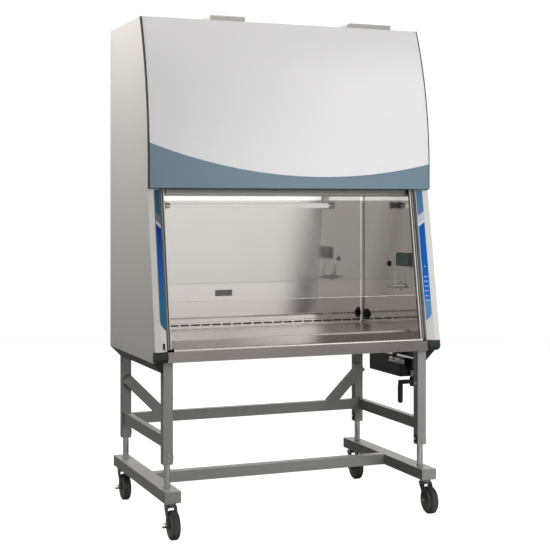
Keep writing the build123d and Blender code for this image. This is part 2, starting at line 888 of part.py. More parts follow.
# Sash tracks: channels that hold the glass by its side edges.
track_x = post_in_x - track_w
track_slot_x = track_x + track_bite
track_low = sill_top - 2 * sheet
track_high = cab_z + track_top_h
track_out = post_in_x - seat_gap
slot_front = glass_back - glass_clear
slot_back = glass_back + glass_t + glass_clear
track_corners = [
    (track_x, slot_front - track_wall),
    (track_out, slot_front - track_wall),
    (track_out, slot_back + track_wall),
    (track_x, slot_back + track_wall),
    (track_x, slot_back),
    (track_slot_x, slot_back),
    (track_slot_x, slot_front),
    (track_x, slot_front),
]
track_section = leaning_section(track_low, track_corners)
with BuildPart() as sash_tracks:
    add(track_section)
    extrude(amount=leaning_height(track_high - track_low), dir=lean_way)
    mirror(about=Plane.YZ)
sash_tracks.part.label = "sash_tracks"
export_step(sash_tracks.part, "parts/sash_tracks.step")

# The sliding sash is one pane of safety glass.
glass_low = cab_z + glass_open_h
glass_half = track_slot_x - 2 * glass_clear
glass_corners = [
    (-glass_half, glass_back),
    (glass_half, glass_back),
    (glass_half, glass_back + glass_t),
    (-glass_half, glass_back + glass_t),
]
glass_section = leaning_section(glass_low, glass_corners)
with BuildPart() as sash_glass:
    add(glass_section)
    extrude(amount=leaning_height(glass_len_h), dir=lean_way)
sash_glass.part.label = "sash_glass"
export_step(sash_glass.part, "parts/sash_glass.step")

# Steel counterweights in the side cavities balance the glass.
weight_low = cab_z + weight_low_h
with BuildPart() as counterweights:
    with BuildSketch(level(weight_low)):
        with GridLocations(2 * weight_x, 0, 2, 1):
            with Locations((0, weight_y)):
                Rectangle(weight_w, weight_depth)
    extrude(amount=weight_len)
    chamfer(counterweights.edges().filter_by(Axis.Z), weight_chamfer)
counterweights.part.label = "counterweights"
export_step(counterweights.part, "parts/counterweights.step")


# ================================================================================ HOOD
def hood_slice(outer, inner, trim):
    """Hood profile between two depths behind its front, trimmed at both ends."""
    low = hood_z + trim
    top = cab_top - trim
    with BuildSketch(mode=Mode.PRIVATE) as profile:
        with BuildLine():
            wall = Line((hood_front_y + outer, low), (hood_front_y + outer, hood_bend_z))
            bend = TangentArc(wall @ 1, (bend_y(top, outer), top), tangent=(0, 1))
            back_wall = Line((hood_front_y + inner, low), (hood_front_y + inner, hood_bend_z))
            back_bend = TangentArc(back_wall @ 1, (bend_y(top, inner), top), tangent=(0, 1))
            Line(bend @ 1, back_bend @ 1)
            Line(wall @ 0, back_wall @ 0)
        make_face()
    return profile.sketch


# The hood is one sheet that curves back towards the roof, with a rim folded in all
# round. It hangs from two knuckles under the roof's front edge.
hood_out = hood_half - seat_gap
hood_back = hood_depth - seat_gap
hood_skin = band_t + seat_gap
hood_tray = hood_slice(hood_skin, hood_back, 0)
hood_pocket = hood_slice(hood_skin + sheet, hood_depth + sheet, sheet)
knuckle_r = hinge_knuckle_d / 2
hinge_x = half_w - hinge_inset
hinge_spots = (-hinge_x, hinge_x)
with BuildPart() as hood_panel:
    with BuildSketch(side(-hood_out)):
        add(hood_tray)
    extrude(amount=2 * hood_out)
    with BuildSketch(side(-hood_out + sheet)):
        add(hood_pocket)
    extrude(amount=2 * (hood_out - sheet), mode=Mode.SUBTRACT)
    for spot_x in hinge_spots:
        with BuildSketch(side(spot_x - hinge_knuckle_len / 2)):
            with Locations((pin_y, pin_z)):
                Circle(knuckle_r)
            with Locations((pin_y - hinge_set_y / 2 - sheet, pin_z + knuckle_r / 2)):
                Rectangle(hinge_set_y + 2 * sheet, knuckle_r)
            with Locations((pin_y, pin_z)):
                Circle(hinge_pin_d / 2 + run_fit, mode=Mode.SUBTRACT)
        extrude(amount=hinge_knuckle_len)
hood_panel.part.label = "hood_panel"
export_step(hood_panel.part, "parts/hood_panel.step")

# Coloured band along the hood's lower edge, with a long curved upper edge.
band_face = hood_slice(0, band_t, 0)
with BuildPart() as hood_band:
    with BuildSketch(side(-hood_out)):
        add(band_face)
    extrude(amount=2 * hood_out)
    with BuildSketch(facing(0)):
        with BuildLine():
            sweep_line = ThreePointArc(
                (-half_w, hood_z + band_left_h),
                (band_middle_x, hood_z + band_middle_h),
                (half_w, hood_z + band_right_h),
            )
            Polyline(sweep_line @ 1, (half_w, hood_z), (-half_w, hood_z), sweep_line @ 0)
        make_face()
    extrude(amount=cab_h, mode=Mode.INTERSECT)
hood_band.part.label = "hood_band"
export_step(hood_band.part, "parts/hood_band.step")

# Black edge seals on both sides of the hood.
seal_face = hood_slice(0, hood_back, 0)
with BuildPart() as hood_seals:
    with BuildSketch(side(hood_half)):
        add(seal_face)
    extrude(amount=gasket_w)
    mirror(about=Plane.YZ)
hood_seals.part.label = "hood_seals"
export_step(hood_seals.part, "parts/hood_seals.step")

# Hinge brackets on the roof's front edge: two lugs and a pin for each knuckle.
with BuildPart() as hood_hinges:
    for spot_x in hinge_spots:
        for lug_x in (-hinge_knuckle_len / 2 - seat_gap - hinge_lug_t, hinge_knuckle_len / 2 + seat_gap):
            with BuildSketch(side(spot_x + lug_x)):
                with Locations((pin_y, pin_z)):
                    Circle(knuckle_r)
                with Locations(((pin_y + roof_front_y) / 2, pin_z)):
                    Rectangle(roof_front_y - pin_y, 2 * knuckle_r)
            extrude(amount=hinge_lug_t)
        pin_len = hinge_knuckle_len + 2 * seat_gap
        with BuildSketch(side(spot_x - pin_len / 2)):
            with Locations((pin_y, pin_z)):
                Circle(hinge_pin_d / 2)
        extrude(amount=pin_len)
hood_hinges.part.label = "hood_hinges"
export_step(hood_hinges.part, "parts/hood_hinges.step")


# ======================================================================== WORK CHAMBER
liner_low = cab_z + pan_rim + seat_gap
liner_high = cab_z + liner_top_h
liner_back_y = chamber_back_y + sheet
tray_top = cab_z + tray_top_h
tray_low = tray_top - tray_skirt
ledge_top = tray_low - seat_gap
liner_front_gap = slot_back + sheet
slot_pitch = 2 * (chamber_x - slot_margin) / slot_count

# Stainless liner: back and side walls in one piece with rounded corners, cut off along
# the sash, with air slots low in the back and ledges for the work surface.
with BuildPart() as liner:
    liner_depth = liner_back_y - 2 * sill_front_y
    with BuildSketch(level(liner_low)):
        with Locations((0, liner_back_y - liner_depth / 2)):
            RectangleRounded(2 * liner_x, liner_depth, chamber_corner_r + sheet)
            RectangleRounded(
                2 * chamber_x, liner_depth - 2 * sheet, chamber_corner_r, mode=Mode.SUBTRACT
            )
    extrude(amount=liner_high - liner_low)
    cut_low = liner_low - sheet
    cut_high = liner_high + sheet
    with BuildSketch(side(-cab_w)):
        with BuildLine():
            Polyline(
                (front_y(cut_low) + liner_front_gap, cut_low),
                (front_y(cut_high) + liner_front_gap, cut_high),
                (4 * sill_front_y, cut_high),
                (4 * sill_front_y, cut_low),
                close=True,
            )
        make_face()
    extrude(amount=2 * cab_w, mode=Mode.SUBTRACT)
    with BuildSketch(facing(chamber_back_y - sheet)):
        with Locations((0, cab_z + slot_low_h + slot_h / 2)):
            with GridLocations(slot_pitch, 0, slot_count, 1):
                Rectangle(slot_pitch - slot_gap, slot_h)
    extrude(amount=-3 * sheet, mode=Mode.SUBTRACT)
    ledge_len = chamber_back_y - tray_front_y - 4 * tray_corner_r
    with BuildSketch(level(ledge_top)):
        with Locations((0, (chamber_back_y + tray_front_y) / 2)):
            with GridLocations(2 * chamber_x - ledge_w, 0, 2, 1):
                Rectangle(ledge_w, ledge_len)
    extrude(amount=-ledge_t)
liner.part.label = "liner"
export_step(liner.part, "parts/liner.step")

# Dished work surface that lifts out, with a thumb hole in each front corner.
tray_half = chamber_x - sheet / 2
tray_back_y = chamber_back_y - sheet / 2
tray_depth = tray_back_y - tray_front_y
tray_spot = Locations((0, (tray_back_y + tray_front_y) / 2))
dish_half = tray_half - tray_rim
dish_depth = tray_depth - 2 * tray_rim
with BuildPart() as work_surface:
    with BuildSketch(level(tray_low)):
        with tray_spot:
            RectangleRounded(2 * tray_half, tray_depth, tray_corner_r)
    extrude(amount=tray_skirt)
    with BuildSketch(level(tray_low)):
        with tray_spot:
            RectangleRounded(
                2 * (tray_half - sheet), tray_depth - 2 * sheet, tray_corner_r - sheet
            )
    extrude(amount=tray_skirt - sheet, mode=Mode.SUBTRACT)
    with BuildSketch(level(tray_top - tray_dish - sheet)):
        with tray_spot:
            RectangleRounded(2 * (dish_half + sheet), dish_depth + 2 * sheet, tray_corner_r)
    extrude(amount=tray_dish)
    with BuildSketch(level(tray_top - tray_dish)):
        with tray_spot:
            RectangleRounded(2 * dish_half, dish_depth, tray_corner_r - sheet)
    extrude(amount=2 * tray_dish, mode=Mode.SUBTRACT)
    with BuildSketch(level(tray_low)):
        with Locations((0, tray_front_y + 2 * thumb_hole_d)):
            with GridLocations(2 * (dish_half - thumb_hole_d), 0, 2, 1):
                Circle(thumb_hole_d / 2)
    extrude(amount=2 * tray_skirt, mode=Mode.SUBTRACT)
work_surface.part.label = "work_surface"
export_step(work_surface.part, "parts/work_surface.step")

# Supply air diffuser: the chamber's ceiling, turned up all round.
diffuser_z = cab_z + chamber_top_h
diffuser_front_y = front_y(liner_high) + liner_front_gap + sheet
diffuser_back_y = chamber_back_y - seat_gap
diffuser_half = chamber_x - seat_gap
diffuser_spot = Locations((0, (diffuser_front_y + diffuser_back_y) / 2))
diffuser_depth = diffuser_back_y - diffuser_front_y
diffuser_rim = liner_high - diffuser_z
with BuildPart() as diffuser:
    with BuildSketch(level(diffuser_z)):
        with diffuser_spot:
            RectangleRounded(2 * diffuser_half, diffuser_depth, chamber_corner_r)
    extrude(amount=diffuser_rim)
    with BuildSketch(level(diffuser_z + sheet)):
        with diffuser_spot:
            RectangleRounded(
                2 * (diffuser_half - sheet), diffuser_depth - 2 * sheet, chamber_corner_r - sheet
            )
    extrude(amount=diffuser_rim, mode=Mode.SUBTRACT)
diffuser.part.label = "diffuser"
export_step(diffuser.part, "parts/diffuser.step")


# ============================================================== FITTINGS IN THE CHAMBER
# Germicidal lamp in two holders high on the back wall.
lamp_z = diffuser_z - lamp_drop
lamp_left_x = -chamber_x + lamp_left_gap
lamp_right_x = chamber_x - lamp_right_gap
lamp_y = chamber_back_y - lamp_off_wall
lamp_len = lamp_right_x - lamp_left_x - 2 * lamp_holder_t - 2 * seat_gap
with BuildPart() as uv_lamp:
    with BuildSketch(side(lamp_left_x + lamp_holder_t + seat_gap)):
        with Locations((lamp_y, lamp_z)):
            Circle(lamp_d / 2)
    extrude(amount=lamp_len)
uv_lamp.part.label = "uv_lamp"
export_step(uv_lamp.part, "parts/uv_lamp.step")

with BuildPart() as lamp_holders:
    for holder_x in (lamp_left_x, lamp_right_x - lamp_holder_t):
        with BuildSketch(side(holder_x)):
            with Locations((lamp_y, lamp_z)):
                Circle(lamp_holder_r)
            with Locations((lamp_y + lamp_off_wall / 2, lamp_z)):
                Rectangle(lamp_off_wall - 2 * seat_gap, lamp_d)
        extrude(amount=lamp_holder_t)
lamp_holders.part.label = "lamp_holders"
export_step(lamp_holders.part, "parts/lamp_holders.step")

# Outlet on the right wall: a frame with two sockets, under a hinged drip cover.
wall_x = chamber_x - seat_gap
outlet_z = cab_z + outlet_h
cover_x = wall_x - outlet_t - seat_gap
cover_pin_z = outlet_z + outlet_tall / 2 + cover_pin_d
with BuildPart() as outlet:
    with BuildSketch(side(wall_x - outlet_t)):
        with Locations((outlet_y, outlet_z)):
            RectangleRounded(outlet_w, outlet_tall, outlet_corner_r)
    extrude(amount=outlet_t)
    with BuildSketch(side(wall_x - outlet_t)):
        with Locations((outlet_y, outlet_z)):
            with GridLocations(outlet_w / 2, 0, 2, 1):
                Rectangle(socket_w, socket_w)
    extrude(amount=outlet_t / 2, mode=Mode.SUBTRACT)
    for ear_side in (-1, 1):
        ear_y = outlet_y + ear_side * (outlet_w / 2 - cover_pin_d)
        with BuildSketch(facing(ear_y + cover_pin_d / 2)):
            with Locations((cover_x - cover_t / 2, cover_pin_z)):
                Circle(cover_pin_d)
            with Locations(((cover_x - cover_t / 2 + wall_x) / 2, cover_pin_z)):
                Rectangle(wall_x - cover_x + cover_t / 2, 2 * cover_pin_d)
        extrude(amount=cover_pin_d)
    with BuildSketch(facing(outlet_y + outlet_w / 2 - cover_pin_d)):
        with Locations((cover_x - cover_t / 2, cover_pin_z)):
            Circle(cover_pin_d / 2)
    extrude(amount=outlet_w - 2 * cover_pin_d)
outlet.part.label = "outlet"
export_step(outlet.part, "parts/outlet.step")

cover_half = outlet_w / 2 - 2 * cover_pin_d
with BuildPart() as outlet_cover:
    with BuildSketch(side(cover_x - cover_t)):
        with Locations((outlet_y, outlet_z - cover_pin_d / 2)):
            RectangleRounded(outlet_w, outlet_tall - cover_pin_d, outlet_corner_r)
    extrude(amount=cover_t)
    with BuildSketch(side(cover_x - cover_t + sheet)):
        with Locations((outlet_y, outlet_z - cover_pin_d / 2)):
            Rectangle(outlet_w - 4 * sheet, outlet_tall - cover_pin_d - 4 * sheet)
    extrude(amount=cover_t, mode=Mode.SUBTRACT)
    with BuildSketch(facing(outlet_y + cover_half)):
        with Locations((cover_x - cover_t / 2, cover_pin_z)):
            Circle(cover_pin_d)
        with Locations((cover_x - cover_t / 2, cover_pin_z - 1.5 * cover_pin_d)):
            Rectangle(cover_t, 3 * cover_pin_d)
        with Locations((cover_x - cover_t / 2, cover_pin_z)):
            Circle(cover_pin_d / 2 + run_fit, mode=Mode.SUBTRACT)
    extrude(amount=2 * cover_half)
outlet_cover.part.label = "outlet_cover"
export_step(outlet_cover.part, "parts/outlet_cover.step")

# Service valve: wall flange, body with a hose nozzle that points into the chamber, and
# a spindle boss facing the user.
valve_z = cab_z + valve_h
body_x = wall_x - valve_len
with BuildPart() as service_valve:
    with BuildSketch(side(wall_x)):
        with Locations((valve_y, valve_z)):
            Circle(valve_flange_d / 2)
    extrude(amount=-plug_t)
    with BuildSketch(side(wall_x)):
        with Locations((valve_y, valve_z)):
            Circle(valve_d / 2)
    extrude(amount=-valve_len)
    with BuildSketch(side(body_x)):
        with Locations((valve_y, valve_z)):
            Circle(nozzle_d / 2)
    extrude(amount=-nozzle_len)
    with BuildSketch(facing(valve_y)):
        with Locations((body_x + valve_d / 2, valve_z)):
            Circle(lever_d / 2)
    extrude(amount=valve_d / 2 + lever_t / 2)
    with BuildSketch(facing(valve_y)):
        with Locations((body_x + valve_d / 2, valve_z)):
            Circle(lever_t / 2)
    extrude(amount=valve_d / 2 + 2 * lever_t)
service_valve.part.label = "service_valve"
export_step(service_valve.part, "parts/service_valve.step")

lever_y = valve_y - valve_d / 2 - lever_t / 2 - seat_gap
with BuildPart() as valve_lever:
    with BuildSketch(facing(lever_y)):
        with Locations((body_x + valve_d / 2, valve_z)):
            Circle(lever_d / 2)
        with Locations((body_x + valve_d / 2, valve_z + lever_len / 2)):
            SlotOverall(lever_len, lever_d * 0.7, rotation=90)
        with Locations((body_x + valve_d / 2, valve_z)):
            Circle(lever_t / 2 + run_fit, mode=Mode.SUBTRACT)
    extrude(amount=lever_t)
valve_lever.part.label = "valve_lever"
export_step(valve_lever.part, "parts/valve_lever.step")

# Black plugs in the right wall: a small button and the larger cord port with a knob.
with BuildPart() as port_plugs:
    with BuildSketch(side(wall_x)):
        with Locations((small_plug_y, cab_z + small_plug_h)):
            Circle(small_plug_d / 2)
        with Locations((cord_port_y, cab_z + cord_port_h)):
            Circle(cord_port_d / 2)
    extrude(amount=-plug_t)
    with BuildSketch(side(wall_x - plug_t)):
        with Locations((cord_port_y, cab_z + cord_port_h)):
            Circle(cord_port_d / 4)
    extrude(amount=-2 * plug_t)
port_plugs.part.label = "port_plugs"
export_step(port_plugs.part, "parts/port_plugs.step")


# ========================================================================== AIR SYSTEM
# Framed filters: supply above the diffuser, exhaust under the roof. Each has its
# medium set back inside its frame on both faces.
filter_z = liner_high + seat_gap
filter_back_y = chamber_back_y + sheet
exhaust_z = cab_top - sheet - seat_gap - exhaust_filter_h
filter_sizes = [
    (0.0, (filter_front_y + filter_back_y) / 2, filter_z,
     2 * liner_x, filter_back_y - filter_front_y, filter_h),
    (exhaust_x, guard_y, exhaust_z, exhaust_filter_w, exhaust_filter_d, exhaust_filter_h),
]
with BuildPart() as hepa_filters:
    for mid_x, mid_depth, low_z, width, depth, height in filter_sizes:
        with BuildSketch(level(low_z)):
            with Locations((mid_x, mid_depth)):
                Rectangle(width, depth)
                Rectangle(width - 2 * filter_frame, depth - 2 * filter_frame, mode=Mode.SUBTRACT)
        extrude(amount=height)
        with BuildSketch(level(low_z + filter_frame / 2)):
            with Locations((mid_x, mid_depth)):
                Rectangle(width - 2 * filter_frame, depth - 2 * filter_frame)
        extrude(amount=height - filter_frame)
hepa_filters.part.label = "hepa_filters"
export_step(hepa_filters.part, "parts/hepa_filters.step")

# Blower: a sheet scroll that grows by a step each quarter turn and blows down into the
# supply filter, closed on the motor's side and open to the inlet on the other.
fan_z = cab_z + fan_h
outlet_low_z = filter_z + filter_h + seat_gap
inlet_r = fan_d / 2 - 4 * sheet
roll_small = scroll_start_r
roll_middle = scroll_start_r + scroll_growth
roll_large = scroll_start_r + 2 * scroll_growth
diagonal = 1 / sqrt(2)


def scroll_shape(inset, duct_z):
    """Scroll outline with its duct's lower end at a height, drawn in by an inset."""
    large = roll_large - inset
    middle = roll_middle - inset
    small = roll_small - inset
    large_z = fan_z + roll_middle - roll_large
    small_y = fan_y - roll_middle + roll_small
    top = (fan_y, fan_z + middle)
    front = (fan_y - middle, fan_z)
    with BuildSketch(mode=Mode.PRIVATE) as outline:
        with BuildLine():
            Polyline(
                (small_y, fan_z - small),
                (small_y, duct_z),
                (fan_y + large, duct_z),
                (fan_y + large, large_z),
            )
            large_point = (fan_y + large * diagonal, large_z + large * diagonal)
            ThreePointArc((fan_y + large, large_z), large_point, top)
            middle_point = (fan_y - middle * diagonal, fan_z + middle * diagonal)
            ThreePointArc(top, middle_point, front)
            small_point = (small_y - small * diagonal, fan_z - small * diagonal)
            ThreePointArc(front, small_point, (small_y, fan_z - small))
        make_face()
    return outline.sketch


scroll_face = scroll_shape(0, outlet_low_z)
scroll_hollow = scroll_shape(sheet, outlet_low_z - sheet)
motor_x = -scroll_w / 2 - motor_len
with BuildPart() as blower_housing:
    with BuildSketch(side(-scroll_w / 2)):
        add(scroll_face)
    extrude(amount=scroll_w)
    with BuildSketch(side(-scroll_w / 2 + sheet)):
        add(scroll_hollow)
    extrude(amount=scroll_w - 2 * sheet, mode=Mode.SUBTRACT)
    with BuildSketch(side(0)):
        with Locations((fan_y, fan_z)):
            Circle(inlet_r)
    extrude(amount=scroll_w, mode=Mode.SUBTRACT)
    with BuildSketch(side(motor_x)):
        with Locations((fan_y, fan_z)):
            Circle(motor_d / 2)
    extrude(amount=motor_len + sheet)
    with BuildSketch(side(-scroll_w / 2)):
        with Locations((fan_y, fan_z)):
            Circle(motor_shaft_d / 2)
    extrude(amount=scroll_w / 2 + fan_w / 2)
blower_housing.part.label = "blower_housing"
export_step(blower_housing.part, "parts/blower_housing.step")

# Blower wheel: forward-curved blades between a hub disc and an open ring. A blade's
# section is a thin crescent whose hollow side faces the way the wheel turns.
blade_end = blade_depth / 2
with BuildSketch() as blade:
    with BuildLine():
        ThreePointArc((-blade_end, 0), (0, blade_bow), (blade_end, 0))
        Line((blade_end, 0), (blade_end, -sheet))
        ThreePointArc((blade_end, -sheet), (0, blade_bow - sheet), (-blade_end, -sheet))
        Line((-blade_end, -sheet), (-blade_end, 0))
    make_face()
with BuildPart() as blower_wheel:
    with BuildSketch(side(-fan_w / 2)):
        with Locations((fan_y, fan_z)):
            Circle(fan_d / 2)
    extrude(amount=fan_ring_t)
    with BuildSketch(side(-fan_w / 2)):
        with Locations((fan_y, fan_z)):
            Circle(motor_shaft_d * 1.5)
    extrude(amount=fan_w / 2)
    with BuildSketch(side(fan_w / 2 - fan_ring_t)):
        with Locations((fan_y, fan_z)):
            Circle(fan_d / 2)
            Circle(fan_d / 2 - blade_depth, mode=Mode.SUBTRACT)
    extrude(amount=fan_ring_t)
    with BuildSketch(side(-fan_w / 2)):
        with Locations((fan_y, fan_z)):
            with PolarLocations(fan_d / 2 - blade_end - 2 * sheet, fan_blades):
                add(blade.sketch, rotation=blade_lean)
    extrude(amount=fan_w)
    with BuildSketch(side(-fan_w)):
        with Locations((fan_y, fan_z)):
            Circle(motor_shaft_d / 2 + run_fit)
    extrude(amount=2 * fan_w, mode=Mode.SUBTRACT)
blower_wheel.part.label = "blower_wheel"
export_step(blower_wheel.part, "parts/blower_wheel.step")


# ================================================================================ ROOF
# Guard over the exhaust opening: a low box with air slots in its top.
roof_z = cab_top + seat_gap
with BuildPart() as exhaust_guard:
    with BuildSketch(level(roof_z)):
        with Locations((exhaust_x, guard_y)):
            Rectangle(guard_w, guard_d)
    extrude(amount=guard_h)
    chamfer(exhaust_guard.edges().group_by(Axis.Z)[-1], 2 * sheet)
    with BuildSketch(level(roof_z)):
        with Locations((exhaust_x, guard_y)):
            Rectangle(guard_w - 2 * sheet, guard_d - 2 * sheet)
    extrude(amount=guard_h - 3 * sheet, mode=Mode.SUBTRACT)
    slot_len = guard_w - 8 * sheet
    with BuildSketch(level(roof_z)):
        with Locations((exhaust_x, guard_y)):
            with GridLocations(0, (guard_d - 8 * sheet) / guard_slots, 1, guard_slots):
                SlotOverall(slot_len, guard_slot_w)
    extrude(amount=2 * guard_h, mode=Mode.SUBTRACT)
exhaust_guard.part.label = "exhaust_guard"
export_step(exhaust_guard.part, "parts/exhaust_guard.step")

# Electrical service box with a sloped end and the cord gland on its back.
box_right_x = half_w - box_inset
box_left_x = box_right_x - box_len
with BuildPart() as service_box:
    with BuildSketch(facing(box_y + box_depth / 2)):
        with BuildLine():
            Polyline(
                (box_left_x, roof_z),
                (box_left_x + box_slope, roof_z + box_h - seat_gap),
                (box_right_x, roof_z + box_h - seat_gap),
                (box_right_x, roof_z),
                close=True,
            )
        make_face()
    extrude(amount=box_depth)
    with BuildSketch(facing(box_y + box_depth / 2 - sheet)):
        with BuildLine():
            Polyline(
                (box_left_x + 2 * sheet, roof_z),
                (box_left_x + box_slope + sheet, roof_z + box_h - seat_gap - sheet),
                (box_right_x - sheet, roof_z + box_h - seat_gap - sheet),
                (box_right_x - sheet, roof_z),
                close=True,
            )
        make_face()
    extrude(amount=box_depth - 2 * sheet, mode=Mode.SUBTRACT)
    with BuildSketch(facing(box_y + box_depth / 2)):
        with Locations(((box_left_x + box_right_x) / 2 + box_slope / 2, roof_z + box_h / 2)):
            Circle(gland_d / 2)
    extrude(amount=-gland_d)
service_box.part.label = "service_box"
export_step(service_box.part, "parts/service_box.step")
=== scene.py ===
import math

import bmesh
import bpy
from mathutils import Matrix, Vector


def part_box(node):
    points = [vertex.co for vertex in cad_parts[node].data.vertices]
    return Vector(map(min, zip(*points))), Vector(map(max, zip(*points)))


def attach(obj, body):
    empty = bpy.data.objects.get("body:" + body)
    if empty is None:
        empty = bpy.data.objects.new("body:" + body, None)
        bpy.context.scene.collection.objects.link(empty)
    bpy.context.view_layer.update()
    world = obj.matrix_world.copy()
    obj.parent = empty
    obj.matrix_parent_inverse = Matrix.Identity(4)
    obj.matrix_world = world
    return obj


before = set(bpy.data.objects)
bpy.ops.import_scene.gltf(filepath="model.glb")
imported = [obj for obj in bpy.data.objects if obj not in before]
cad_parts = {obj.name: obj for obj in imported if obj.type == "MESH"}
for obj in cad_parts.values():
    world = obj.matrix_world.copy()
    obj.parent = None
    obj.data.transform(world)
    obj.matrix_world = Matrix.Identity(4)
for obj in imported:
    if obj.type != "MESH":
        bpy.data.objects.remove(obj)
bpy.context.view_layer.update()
scene = bpy.context.scene

# ---------------------------------------------------------------- Camera, floor and light
# A long lens at standing eye height, well to the left of the cabinet's front.
eye = bpy.data.objects.new("eye", bpy.data.cameras.new("eye"))
scene.collection.objects.link(eye)
eye.location = (-2.2043, -5.53465, 1.436)
eye.rotation_euler = (math.radians(90), 0, math.radians(-21.8))
eye.data.lens = 82.23
eye.data.sensor_width = 36
eye.data.shift_y = -0.131
eye.data.clip_end = 100
scene.camera = eye
scene.view_settings.view_transform = "Standard"

world = bpy.data.worlds.new("studio")
world.use_nodes = True
scene.world = world
studio = world.node_tree
sky = studio.nodes["Background"]
sky.inputs["Color"].default_value = (0.94, 0.96, 1.0, 1)
sky.inputs["Strength"].default_value = 0.11


def math_node(tree, operation, first, second=None, third=None, clamp=False):
    """Math node fed by sockets or plain numbers."""
    node = tree.nodes.new("ShaderNodeMath")
    node.operation = operation
    node.use_clamp = clamp
    for socket, value in zip(node.inputs, (first, second, third)):
        if isinstance(value, (int, float)):
            socket.default_value = value
        elif value is not None:
            tree.links.new(value, socket)
    return node.outputs[0]


def split_xyz(tree, vector):
    """Outputs X, Y and Z of a vector socket."""
    node = tree.nodes.new("ShaderNodeSeparateXYZ")
    tree.links.new(vector, node.inputs[0])
    return node.outputs


def map_range(tree, value, low, high, out_low=0.0, out_high=1.0):
    """Socket's value, taken from one range to another."""
    node = tree.nodes.new("ShaderNodeMapRange")
    for label, number in (("From Min", low), ("From Max", high), ("To Min", out_low), ("To Max", out_high)):
        node.inputs[label].default_value = number
    tree.links.new(value, node.inputs["Value"])
    return node.outputs["Result"]


def colour_ramp(tree, value, stops, interpolation="LINEAR"):
    """Colours along a socket's value, from pairs of position and colour."""
    node = tree.nodes.new("ShaderNodeValToRGB")
    node.color_ramp.interpolation = interpolation
    elements = node.color_ramp.elements
    for index, (position, colour) in enumerate(stops):
        stop = elements[index] if index < 2 else elements.new(position)
        stop.position = position
        stop.color = (*colour, 1)
    tree.links.new(value, node.inputs["Fac"])
    return node.outputs["Color"]


def shader_mix(tree, share, first, second):
    """Mix of two shader sockets by a share socket."""
    node = tree.nodes.new("ShaderNodeMixShader")
    for socket, value in zip(node.inputs, (share, first, second)):
        tree.links.new(value, socket)
    return node.outputs[0]


# The camera sees white. Metal and glass show a white room whose right-hand part is shaded
# by a taupe drape, with a dark fold where the drape begins, and which is dimmer lower down.
drape_lean = -0.19  # how far the drape's edge leans across for each unit of height
room_stops = [(0.0, 0.42), (0.30, 0.55), (0.60, 1.0), (0.690, 0.97), (0.698, 0.85), (0.7003, 0.12),
              (0.7020, 0.0), (0.7050, 0.0), (0.7072, 0.40), (0.74, 0.34), (0.85, 0.42), (1.0, 0.6)]
room_green, room_blue = 0.968, 0.950  # shares of the room's level that make it warm
low_slope, high_slope = -0.13, 0.0  # a ray's slopes between which the room brightens
low_level, high_level = 0.72, 1.16
room_way = studio.nodes.new("ShaderNodeTexCoord").outputs["Generated"]
room_xyz = split_xyz(studio, room_way)
room_slant = math_node(studio, "MULTIPLY_ADD", room_xyz["Z"], drape_lean, room_xyz["X"])
room_colours = [(place, (level, level * room_green, level * room_blue)) for place, level in room_stops]
room_colour = colour_ramp(studio, map_range(studio, room_slant, -1.0, 1.0), room_colours)
room_level = map_range(studio, room_xyz["Z"], low_slope, high_slope, low_level, high_level)
room = studio.nodes.new("ShaderNodeBackground")
studio.links.new(room_colour, room.inputs["Color"])
studio.links.new(room_level, room.inputs["Strength"])
white_room = studio.nodes.new("ShaderNodeBackground")
white_room.inputs["Color"].default_value = (1, 1, 1, 1)
white_room.inputs["Strength"].default_value = 1.05
rays = studio.nodes.new("ShaderNodeLightPath").outputs
mirrored = math_node(studio, "MAXIMUM", rays["Is Glossy Ray"], rays["Is Transmission Ray"])
room_mix = shader_mix(studio, mirrored, sky.outputs[0], room.outputs[0])
seen_mix = shader_mix(studio, rays["Is Camera Ray"], room_mix, white_room.outputs[0])
studio.links.new(seen_mix, studio.nodes["World Output"].inputs["Surface"])

# The floor catches soft shadows, and the camera sees it glow nearly white.
floor_white = 0.94
floor_form = bmesh.new()
bmesh.ops.create_circle(floor_form, cap_ends=True, segments=64, radius=8)
floor_mesh = bpy.data.meshes.new("floor")
floor_form.to_mesh(floor_mesh)
floor_form.free()
floor = bpy.data.objects.new("floor", floor_mesh)
scene.collection.objects.link(floor)


def new_material(name):
    """Material, its node tree and its shader."""
    material = bpy.data.materials.new(name)
    material.use_nodes = True
    return material, material.node_tree, material.node_tree.nodes["Principled BSDF"]


floor_paint, floor_tree, floor_shader = new_material("floor")
floor_shader.inputs["Base Color"].default_value = (0.36, 0.36, 0.36, 1)
floor_shader.inputs["Roughness"].default_value = 0.9
floor_shader.inputs["Specular IOR Level"].default_value = 0.0
floor_rays = floor_tree.nodes.new("ShaderNodeLightPath").outputs
floor_glow = math_node(floor_tree, "MULTIPLY", floor_rays["Is Camera Ray"], floor_white)
floor_tree.links.new(floor_glow, floor_shader.inputs["Emission Strength"])
floor_shader.inputs["Emission Color"].default_value = (1, 1, 1, 1)
floor_mesh.materials.append(floor_paint)


def softbox(name, place, aim, width, height, power, tint=(1, 1, 1)):
    """Area light of a size in metres, turned towards a point."""
    lamp = bpy.data.lights.new(name, "AREA")
    lamp.shape = "RECTANGLE"
    lamp.size = width
    lamp.size_y = height
    lamp.energy = power
    lamp.color = tint
    holder = bpy.data.objects.new(name, lamp)
    scene.collection.objects.link(holder)
    holder.location = place
    holder.rotation_euler = (Vector(aim) - Vector(place)).to_track_quat("-Z", "Y").to_euler()
    return holder


softbox("key", (3.2, -4.2, 4.4), (0.3, 0, 1.8), 2.4, 2.0, 40, (1.0, 0.99, 0.985))
softbox("side", (-1.9, 0.1, 3.3), (-0.69, 0, 2.5), 0.9, 0.9, 52, (1.0, 0.98, 0.96))
softbox("rear", (2.5, 4.5, 3.5), (0, 0, 1.4), 3.0, 2.5, 80)
